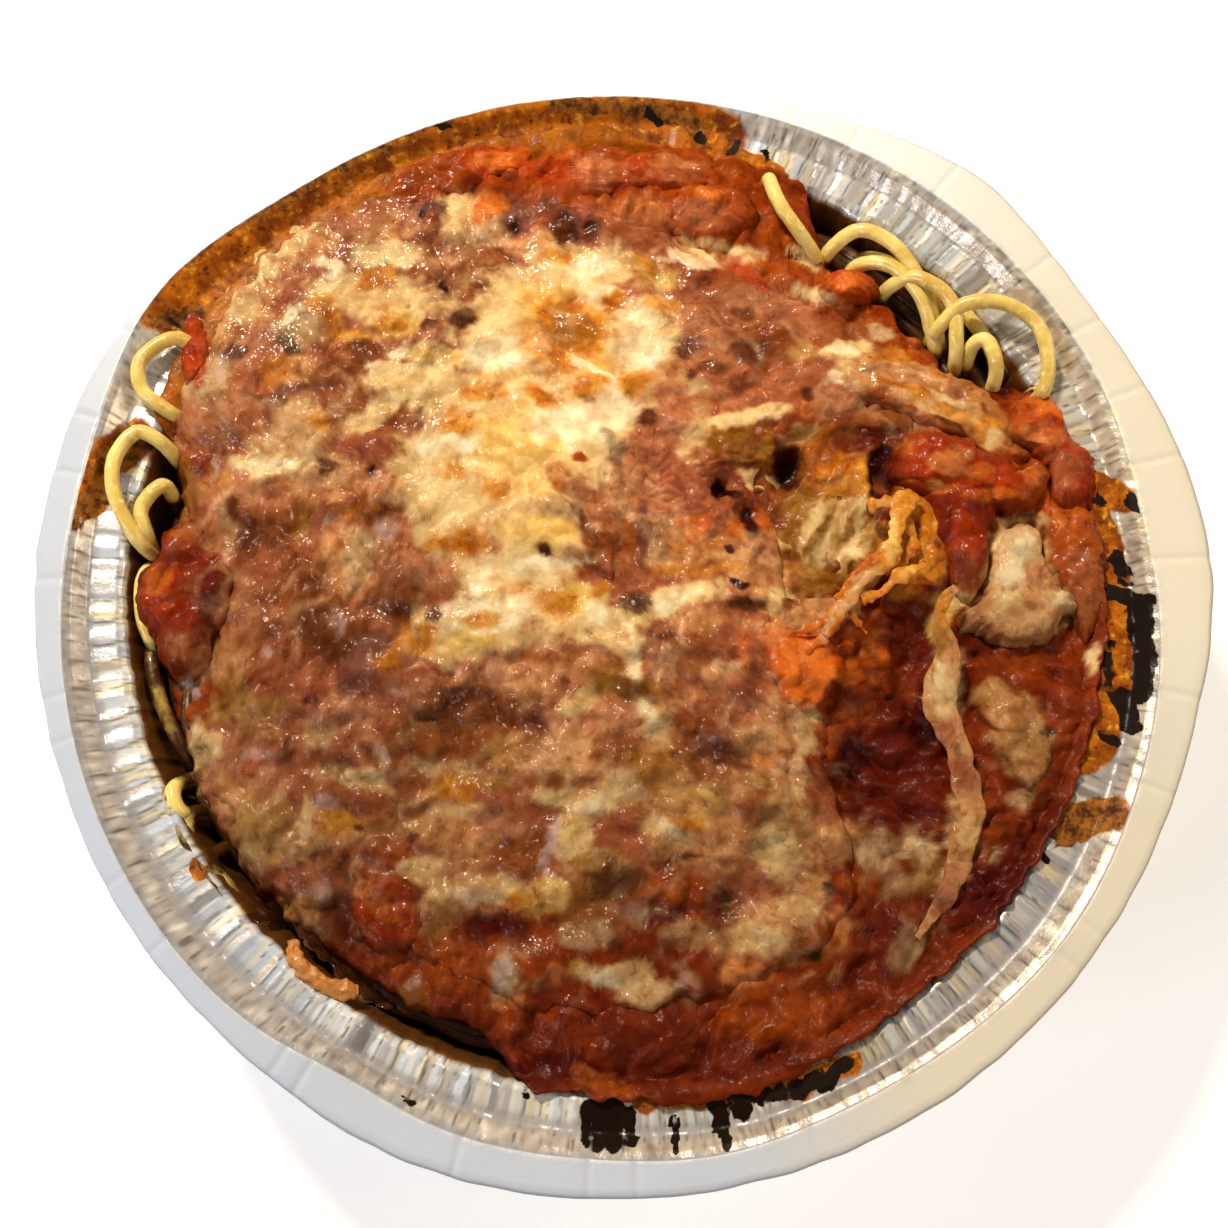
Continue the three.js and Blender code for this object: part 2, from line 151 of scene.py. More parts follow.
# The photograph's frame
def camera_axes():
    tilt, roll = radians(ELEVATION), radians(ROLL)
    forward = np.array((0, cos(tilt), -sin(tilt)))
    right = np.array((1.0, 0, 0))
    up = np.cross(right, forward)
    return forward, right * cos(roll) + up * sin(roll), up * cos(roll) - right * sin(roll)


def pixels(points):
    """The photograph's pixel under each point."""
    forward, right, up = camera_axes()
    away = points - (TARGET - forward * DISTANCE)
    depth = away @ forward
    return np.stack([PHOTO / 2 + FOCAL * (away @ right) / depth, PHOTO / 2 - FOCAL * (away @ up) / depth],
        axis=-1)


def under_pixel(x, y, height):
    """The point at a height that falls on a pixel of the photograph."""
    forward, right, up = camera_axes()
    eye = TARGET - forward * DISTANCE
    ray = forward + right * (x - PHOTO / 2) / FOCAL - up * (y - PHOTO / 2) / FOCAL
    return eye + ray * ((height - eye[2]) / ray[2])


def blots(at, table, soft=0.45):
    """Soft ellipses as centre, half sizes, turn in degrees and strength. The strongest one counts."""
    total = np.zeros(len(at))
    for x, y, rx, ry, turn, strength in table:
        c, s = cos(radians(turn)), sin(radians(turn))
        dx, dy = at[:, 0] - x, at[:, 1] - y
        reach = np.hypot((dx * c + dy * s) / rx, (dy * c - dx * s) / ry)
        total = np.maximum(total, strength * (1 - smooth(1 - soft, 1 + soft, reach)))
    return total


def strokes(at, table, soft=0.5):
    """Soft brush strokes, each given as its points, half width and strength."""
    total = np.zeros(len(at))
    for path, width, strength in table:
        near = np.full(len(at), 1e9)
        for (x0, y0), (x1, y1) in zip(path, path[1:]):
            dx, dy = x1 - x0, y1 - y0
            share = ((at[:, 0] - x0) * dx + (at[:, 1] - y0) * dy) / (dx * dx + dy * dy)
            share = np.clip(share, 0, 1)
            near = np.minimum(near, np.hypot(at[:, 0] - x0 - share * dx, at[:, 1] - y0 - share * dy))
        total = np.maximum(total, strength * (1 - smooth(width * (1 - soft), width * (1 + soft), near)))
    return total


def wander(at, points, amount, size, seed):
    """Pixels pushed about by noise, so that marks get ragged edges."""
    return at + amount * np.stack([rough(points, size, seed), rough(points, size, seed + 7)], axis=-1)


# Meshes
# The upper side of the foil: radius, height, and how much of the ledge's and the fold's waves it takes
SHEET = np.array((
    (56, 0.8, 0, 0), (63.8, 2, 0, 0), (66, 5.2, 0.13, 0), (74, 36, 0.9, 0), (75.3, 39.4, 1, 0),
    (76.3, 40, 1, 0), (80.8, 40, 0.5, 0.5), (83.2, 42.1, 0, 1), (84.4, 42.5, 0, 1), (90, 42.4, 0, 1),
))


# How far the food stays above the foil, in millimetres
FOIL_GAP = 0.05


def above_foil(points):
    """Food kept inside the container's wall and on top of its ledge."""
    angle, radius = angle_of(points[:, 0], points[:, 1]), np.hypot(points[:, 0], points[:, 1])
    waves = [bumps(angle, table) * np.interp(radius, SHEET[:, 0], SHEET[:, column])
             for column, table in ((2, LEDGE_BUMPS), (3, FOLD_BUMPS))]
    sheet = FOIL_GAP + np.interp(radius - waves[0] - waves[1], SHEET[:, 0], SHEET[:, 1])
    depth = np.maximum(sheet - points[:, 2], 0)
    return points + np.outer(0.998 * depth, (0, 0, 1))


def add_piece(name, points, faces, slot, replaced=(), marks=None, finish=None, flat=False):
    """Makes an object from points in millimetres, with one number a point for each mark."""
    points = np.asarray(points, float)
    if slot != "foil":
        points = above_foil(points)
    mesh = bpy.data.meshes.new(name)
    mesh.from_pydata((points / 1000).tolist(), [], faces)
    for mark, values in (marks or {}).items():
        values = np.asarray(values, np.float32)
        if values.ndim == 1:
            mesh.attributes.new(mark, "FLOAT", "POINT").data.foreach_set("value", values)
        else:
            full = np.column_stack([values, np.ones(len(values), np.float32)])
            mesh.attributes.new(mark, "FLOAT_COLOR", "POINT").data.foreach_set("color", full.ravel())
    mesh.shade_flat() if flat else mesh.shade_smooth()
    piece = bpy.data.objects.new(name, mesh)
    bpy.context.scene.collection.objects.link(piece)
    if finish is not None:
        mesh.materials.append(finish)
    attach(piece, "root")
    if replaced:
        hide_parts(*replaced)
    return piece


def ring_faces(rings, spokes, start=0):
    """Quads between neighbouring rings of equal point counts."""
    ring, spoke = np.meshgrid(np.arange(rings - 1), np.arange(spokes), indexing="ij")
    ahead = (spoke + 1) % spokes
    quads = [ring * spokes + spoke, ring * spokes + ahead, (ring + 1) * spokes + ahead,
        (ring + 1) * spokes + spoke]
    return (np.stack(quads, axis=-1).reshape(-1, 4) + start).tolist()


def capped_faces(rings, spokes):
    """Faces of a closed body: a first point, rings of points and a last point."""
    last = 1 + rings * spokes
    start = [[0, 1 + (k + 1) % spokes, 1 + k] for k in range(spokes)]
    base = 1 + (rings - 1) * spokes
    end = [[last, base + k, base + (k + 1) % spokes] for k in range(spokes)]
    middle = [face[::-1] for face in ring_faces(rings, spokes, 1)]
    return [face[::-1] for face in start + middle + end]


def curve_points(corners, steps, closed=False):
    """A smooth curve through corners, with the given number of steps between neighbours."""
    corners = np.asarray(corners, float)
    if closed:
        corners = np.vstack([corners[-1], corners, corners[:2]])
    else:
        corners = np.vstack([2 * corners[0] - corners[1], corners, 2 * corners[-1] - corners[-2]])
    share = np.linspace(0, 1, steps, endpoint=False)[:, None]
    found = []
    for a, b, c, d in zip(corners, corners[1:], corners[2:], corners[3:]):
        found.append(
            0.5 * (2 * b + (c - a) * share + (2 * a - 5 * b + 4 * c - d) * share**2
                + (3 * b - a - 3 * c + d) * share**3)
        )
    if not closed:
        found.append(corners[-2][None])
    return np.vstack(found)


def tube(path, widths, sides, thickness=1.0, lump=None):
    """A closed tube along a path. Widths are radii along it, thickness the share of them that it is high."""
    path = np.asarray(path, float)
    ahead = np.gradient(path, axis=0)
    ahead /= np.linalg.norm(ahead, axis=1)[:, None]
    aside = np.cross(np.array((0.0, 0.0, 1.0)), ahead)
    for i in range(len(aside)):
        if np.linalg.norm(aside[i]) < 0.25:
            aside[i] = aside[i - 1] if i else np.array((1.0, 0, 0))
        if i and aside[i] @ aside[i - 1] < 0:
            aside[i] = -aside[i]
        aside[i] /= np.linalg.norm(aside[i])
    for _ in range(3):
        aside[1:-1] = (aside[:-2] + 2 * aside[1:-1] + aside[2:]) / 4
    aside -= ahead * np.sum(aside * ahead, axis=1)[:, None]
    aside /= np.linalg.norm(aside, axis=1)[:, None]
    over = np.cross(ahead, aside)
    turn = 2 * np.pi * np.arange(sides) / sides
    radius = np.broadcast_to(np.asarray(widths, float), len(path))
    out = (
        np.cos(turn)[None, :, None] * aside[:, None]
        + thickness * np.sin(turn)[None, :, None] * over[:, None]
    )
    rings = path[:, None] + radius[:, None, None] * out
    if lump is not None:
        flat = rings.reshape(-1, 3)
        rings = rings + out * lump(flat).reshape(len(path), sides)[..., None]
    points = np.vstack([path[:1] - ahead[:1] * radius[0] * 0.4, rings.reshape(-1, 3),
        path[-1:] + ahead[-1:] * radius[-1] * 0.4])
    return points, capped_faces(len(path), sides)


def joined(bodies):
    """One list of points and faces from several bodies."""
    points, faces, start = [], [], 0
    for own_points, own_faces in bodies:
        points.append(own_points)
        faces += [[start + i for i in face] for face in own_faces]
        start += len(own_points)
    return np.vstack(points), faces


# Finishes
def linear(colour):
    """Scene colour of a colour given as red, green and blue from 0 to 255."""
    shares = [c / 255 for c in colour]
    return (*[c / 12.92 if c <= 0.04045 else ((c + 0.055) / 1.055) ** 2.4 for c in shares], 1.0)


class Finish:
    """A material with short ways to add nodes. Sizes are in millimetres."""

    def __init__(self, name):
        self.material = bpy.data.materials.new(name)
        self.material.use_nodes = True
        self.nodes = self.material.node_tree.nodes
        self.links = self.material.node_tree.links
        self.shader = self.nodes["Principled BSDF"]
        self.place = self.nodes.new("ShaderNodeTexCoord").outputs["Object"]

    def feed(self, socket, value):
        if isinstance(value, bpy.types.NodeSocket):
            self.links.new(value, socket)
        elif isinstance(value, (tuple, list)) and socket.type == "RGBA":
            socket.default_value = linear(value)
        else:
            socket.default_value = value

    def set(self, **values):
        for name, value in values.items():
            self.feed(self.shader.inputs[name.replace("_", " ")], value)

    def mark(self, name, output="Fac"):
        node = self.nodes.new("ShaderNodeAttribute")
        node.attribute_name = name
        return node.outputs[output]

    def stretched(self, scale, turn=0.0):
        node = self.nodes.new("ShaderNodeMapping")
        node.inputs["Scale"].default_value = scale
        node.inputs["Rotation"].default_value = (0, 0, radians(turn))
        self.links.new(self.place, node.inputs["Vector"])
        return node.outputs["Vector"]

    def noise(self, size, detail=3.0, roughness=0.55, warp=0.0, place=None):
        node = self.nodes.new("ShaderNodeTexNoise")
        self.links.new(place or self.place, node.inputs["Vector"])
        node.inputs["Scale"].default_value = 1000 / size
        node.inputs["Detail"].default_value = detail
        node.inputs["Roughness"].default_value = roughness
        node.inputs["Distortion"].default_value = warp
        return node.outputs["Fac"]

    def maths(self, kind, a, b=0.0):
        node = self.nodes.new("ShaderNodeMath")
        node.operation = kind
        self.feed(node.inputs[0], a)
        self.feed(node.inputs[1], b)
        return node.outputs[0]

    def between(self, value, low, high, to_low=0.0, to_high=1.0):
        node = self.nodes.new("ShaderNodeMapRange")
        node.interpolation_type = "SMOOTHSTEP"
        self.feed(node.inputs["Value"], value)
        node.inputs["From Min"].default_value = low
        node.inputs["From Max"].default_value = high
        node.inputs["To Min"].default_value = to_low
        node.inputs["To Max"].default_value = to_high
        return node.outputs["Result"]

    def ragged(self, mark, grain, amount=0.5, low=0.4, high=0.6):
        """A mark whose soft edge is broken up by a grain."""
        centred = self.maths("MULTIPLY", self.maths("SUBTRACT", grain, 0.5), amount)
        return self.between(self.maths("ADD", mark, centred), low, high)

    def mixed(self, share, a, b, kind="MIX"):
        node = self.nodes.new("ShaderNodeMix")
        node.data_type = "RGBA"
        node.blend_type = kind
        self.feed(node.inputs[0], share)
        self.feed(node.inputs[6], a)
        self.feed(node.inputs[7], b)
        return node.outputs[2]

    def bump(self, height, depth, below=None, strength=1.0):
        node = self.nodes.new("ShaderNodeBump")
        node.inputs["Distance"].default_value = depth / 1000
        node.inputs["Strength"].default_value = strength
        self.links.new(height, node.inputs["Height"])
        if below is not None:
            self.links.new(below, node.inputs["Normal"])
        return node.outputs["Normal"]


def foil_finish():
    """Crinkled aluminium with burnt-on sauce and oil, and painted reflections, light and shade."""
    f = Finish("foil")
    grain = f.noise(3.2, 5, 0.62)
    fine = f.noise(0.8, 3, 0.6)
    oil = f.ragged(f.mark("oil"), grain, 0.7, 0.3, 0.62)
    burn_and_depth_shade = f.ragged(f.mark("burn_and_depth_shade"), f.noise(2.0, 5, 0.7), 0.9, 0.42, 0.6)
    crust = f.ragged(f.mark("crust"), f.noise(2.2, 5, 0.7), 1.5, 0.4, 0.6)
    # The metal's tone is painted reflection of its facets, made warmer toward the right as painted warm light
    metal = f.mixed(1.0, f.mark("tone", "Color"), f.mixed(f.mark("warm"), (255, 255, 255), (255, 246, 226)),
        "MULTIPLY")
    # Painted shade: the metal darker and bluer at the lower right
    metal = f.mixed(f.mark("low_right"), metal, f.mixed(1.0, metal, (214, 216, 226), "MULTIPLY"))
    # The flange in painted light: grey-blue on the near side, bluish white at the far left, warm cream toward
    # the right, greyer beige at the lower right
    flange = f.mixed(f.mark("far"), (184, 192, 206),
        f.mixed(f.mark("warm"), (226, 232, 240), (214, 208, 192)))
    flange = f.mixed(f.mark("low_right"), flange, (206, 199, 182))
    paper = f.mark("paper")
    # Painted shade: dull grey on the two ridge arcs at the lower right, in place of their highlights
    metal = f.mixed(f.mark("ridge"), metal, (146, 142, 146))
    metal = f.mixed(paper, metal, flange)
    metal = f.mixed(f.maths("MULTIPLY", f.mark("hem"), 0.5), metal, (120, 112, 110))
    streaks = f.noise(1.6, 4, 0.6)
    amber = f.mixed(f.between(f.noise(4.5, 3, 0.6), 0.35, 0.65), (190, 104, 8), (126, 56, 4))
    # Painted golden highlights on the glaze's light streaks, dark brown streaks on its dark ones, and the
    # facets' painted reflections multiplied in
    amber = f.mixed(f.between(streaks, 0.52, 0.72, 0.0, 0.75), amber, (236, 172, 48))
    amber = f.mixed(f.between(streaks, 0.45, 0.3), amber, (84, 34, 4))
    amber = f.mixed(0.5, amber, f.mark("tone", "Color"), "MULTIPLY")
    colour = f.mixed(oil, metal, amber)
    baked = f.mixed(f.between(f.noise(2.0, 5, 0.7), 0.36, 0.64), (62, 30, 8), (150, 92, 28))
    colour = f.mixed(crust, colour, baked)
    colour = f.mixed(burn_and_depth_shade, colour, f.mixed(fine, (12, 8, 6), (30, 16, 8)))
    # The wall under the food: sauce-stained brown, dark as painted shade
    colour = f.mixed(f.mark("wall"), colour, f.mixed(grain, (52, 30, 10), (104, 62, 22)))
    dull = f.maths("MAXIMUM", f.maths("MAXIMUM", burn_and_depth_shade, f.mark("ridge")), f.maths("MULTIPLY", crust, 0.9))
    dull = f.maths("MAXIMUM", dull, f.maths("MAXIMUM", oil, f.maths("MULTIPLY", paper, 0.9)))
    dull = f.maths("MAXIMUM", dull, f.maths("MAXIMUM", f.mark("wall"), 0.5))
    f.set(Base_Color=colour, Metallic=f.maths("MULTIPLY", f.maths("SUBTRACT", 1.0, dull), 0.8),
        Coat_Weight=f.maths("MULTIPLY", oil, 0.03), Coat_Roughness=0.12)
    matt = f.maths("ADD", f.maths("MAXIMUM", paper, oil), f.maths("MULTIPLY", fine, 0.2))
    matt = f.maths("ADD", matt, f.maths("MULTIPLY", f.mark("low_right"), 0.4))
    f.set(Specular_IOR_Level=0.1, Roughness=f.between(matt, 0.0, 1.2, 0.26, 0.55))
    f.set(Normal=f.bump(fine, 0.04, f.bump(grain, 0.06)))
    return f.material


def food_finish(name, gloss):
    """Food in the tones painted on its mesh, with a thin film of oil that glints on its small lumps."""
    f = Finish(name)
    middle = f.noise(2.8, 2, 0.5, 0.3)
    small = f.noise(1.5, 2, 0.45, 0.2)
    fine = f.noise(0.9, 1, 0.5)
    sparkle = f.mark("sparkle")
    shade = f.mixed(f.between(middle, 0.36, 0.6), (236, 222, 206), (255, 255, 255))
    tone = f.mark("tone", "Color")
    colour = f.mixed(1.0, tone, shade, "MULTIPLY")
    crisp = f.noise(1.7, 5, 0.62, 0.6)
    darker = f.maths("MULTIPLY", f.between(crisp, 0.55, 0.66, 0.0, 0.5),
        f.between(tone, 0.25, 0.55, 1.0, 0.2))
    colour = f.mixed(darker, colour, f.mixed(1.0, colour, (170, 128, 92), "MULTIPLY"))
    lighter = f.maths("MULTIPLY", f.between(crisp, 0.44, 0.34, 0.0, 0.2), f.between(tone, 0.0, 0.4, 0.0, 1.0))
    colour = f.mixed(lighter, colour, (255, 232, 190))
    f.set(Base_Color=colour, Subsurface_Weight=0.1, Subsurface_Scale=0.0008)
    f.shader.inputs["Subsurface Radius"].default_value = (1.0, 0.4, 0.15)
    f.set(Coat_Weight=f.maths("ADD", f.maths("MULTIPLY", sparkle, 0.6), gloss), Coat_Roughness=0.13)
    f.set(Specular_IOR_Level=0.06, Roughness=f.between(middle, 0.3, 0.75, 0.35, 0.5))
    grainy = f.bump(f.maths("MULTIPLY", fine, sparkle), 0.3)
    f.set(Normal=f.bump(middle, 0.4, f.bump(small, 0.15, grainy)))
    f.set(Coat_Normal=f.bump(middle, 0.7, f.bump(small, 0.32, grainy)))
    return f.material


def pasta_finish():
    """Cooked spaghetti with a film of oil, darker low down, stained by sauce and in painted shade."""
    f = Finish("pasta")
    middle = f.noise(6, 3)
    small = f.noise(1.2, 4, 0.6)
    colour = f.mixed(f.between(middle, 0.3, 0.7), (202, 168, 78), (238, 214, 126))
    colour = f.mixed(f.between(small, 0.5, 0.8), colour, (248, 230, 156))
    colour = f.mixed(f.ragged(f.mark("stain_and_shade"), small, 0.5, 0.3, 0.7), colour,
        f.mixed(middle, (88, 46, 12), (40, 20, 6)))
    f.set(Base_Color=colour, Subsurface_Weight=0.2, Subsurface_Scale=0.0012, Coat_Weight=0.35,
        Coat_Roughness=0.08)
    f.set(Specular_IOR_Level=0.35)
    f.shader.inputs["Subsurface Radius"].default_value = (1.0, 0.7, 0.3)
    f.set(Roughness=f.between(small, 0.3, 0.7, 0.22, 0.4), Normal=f.bump(small, 0.06))
    return f.material


def eggplant_finish():
    """Soft pale flesh with fibres, gold-brown breading at the rim, and dark brown where the shade mark lays
    painted shade.
    """
    f = Finish("eggplant")
    fibre = f.noise(1.6, 5, 0.65, 0.3, f.stretched((1, 0.22, 1), 38))
    middle = f.noise(4.5, 3)
    small = f.noise(1.1, 3)
    flesh = f.mixed(f.between(fibre, 0.32, 0.68), (150, 104, 40), (232, 196, 128))
    flesh = f.mixed(f.between(middle, 0.45, 0.75, 0.0, 0.6), flesh, (176, 140, 62))
    colour = f.mixed(f.ragged(f.mark("crust"), small, 0.6), flesh,
        f.mixed(small, (206, 140, 66), (140, 80, 26)))
    colour = f.mixed(f.ragged(f.mark("shade"), small, 0.5), colour, f.mixed(small, (54, 24, 8), (84, 44, 14)))
    f.set(Base_Color=colour, Subsurface_Weight=0.25, Subsurface_Scale=0.0012, Coat_Weight=0.15,
        Coat_Roughness=0.12)
    f.set(Specular_IOR_Level=0.3)
    f.shader.inputs["Subsurface Radius"].default_value = (1.0, 0.6, 0.25)
    f.set(Roughness=f.between(small, 0.3, 0.7, 0.25, 0.5), Normal=f.bump(fibre, 0.4))
    return f.material


# Tones of the food, as red, green and blue from 0 to 255. Some stand in for painted highlights and painted
# shade, as noted where they are painted
TONES = {
    "white": (250, 232, 190), "cream": (240, 208, 146), "yellow": (236, 196, 108), "pale": (222, 178, 132),
    "grey_cream": (196, 160, 116), "tan": (208, 150, 96), "pink": (190, 126, 88), "rose": (172, 100, 66),
    "brown": (148, 82, 42), "dark": (98, 50, 26), "black": (42, 21, 10), "gold": (214, 146, 52),
    "amber": (190, 112, 30), "olive": (158, 106, 38), "green_tan": (184, 138, 80), "purple": (128, 78, 64),
    "bluish_highlight": (206, 178, 172), "sauce": (142, 56, 12), "deep_red_and_shade": (98, 30, 4), "shaded_pit": (50, 16, 3),
    "brick": (166, 74, 22), "red": (184, 64, 18), "orange": (212, 111, 40), "peach_and_highlight": (222, 140, 78),
    "crimson": (152, 48, 10), "herb": (62, 52, 24), "onion": (158, 136, 104), "flesh": (186, 150, 84),
    "flesh_light": (226, 204, 148),
}
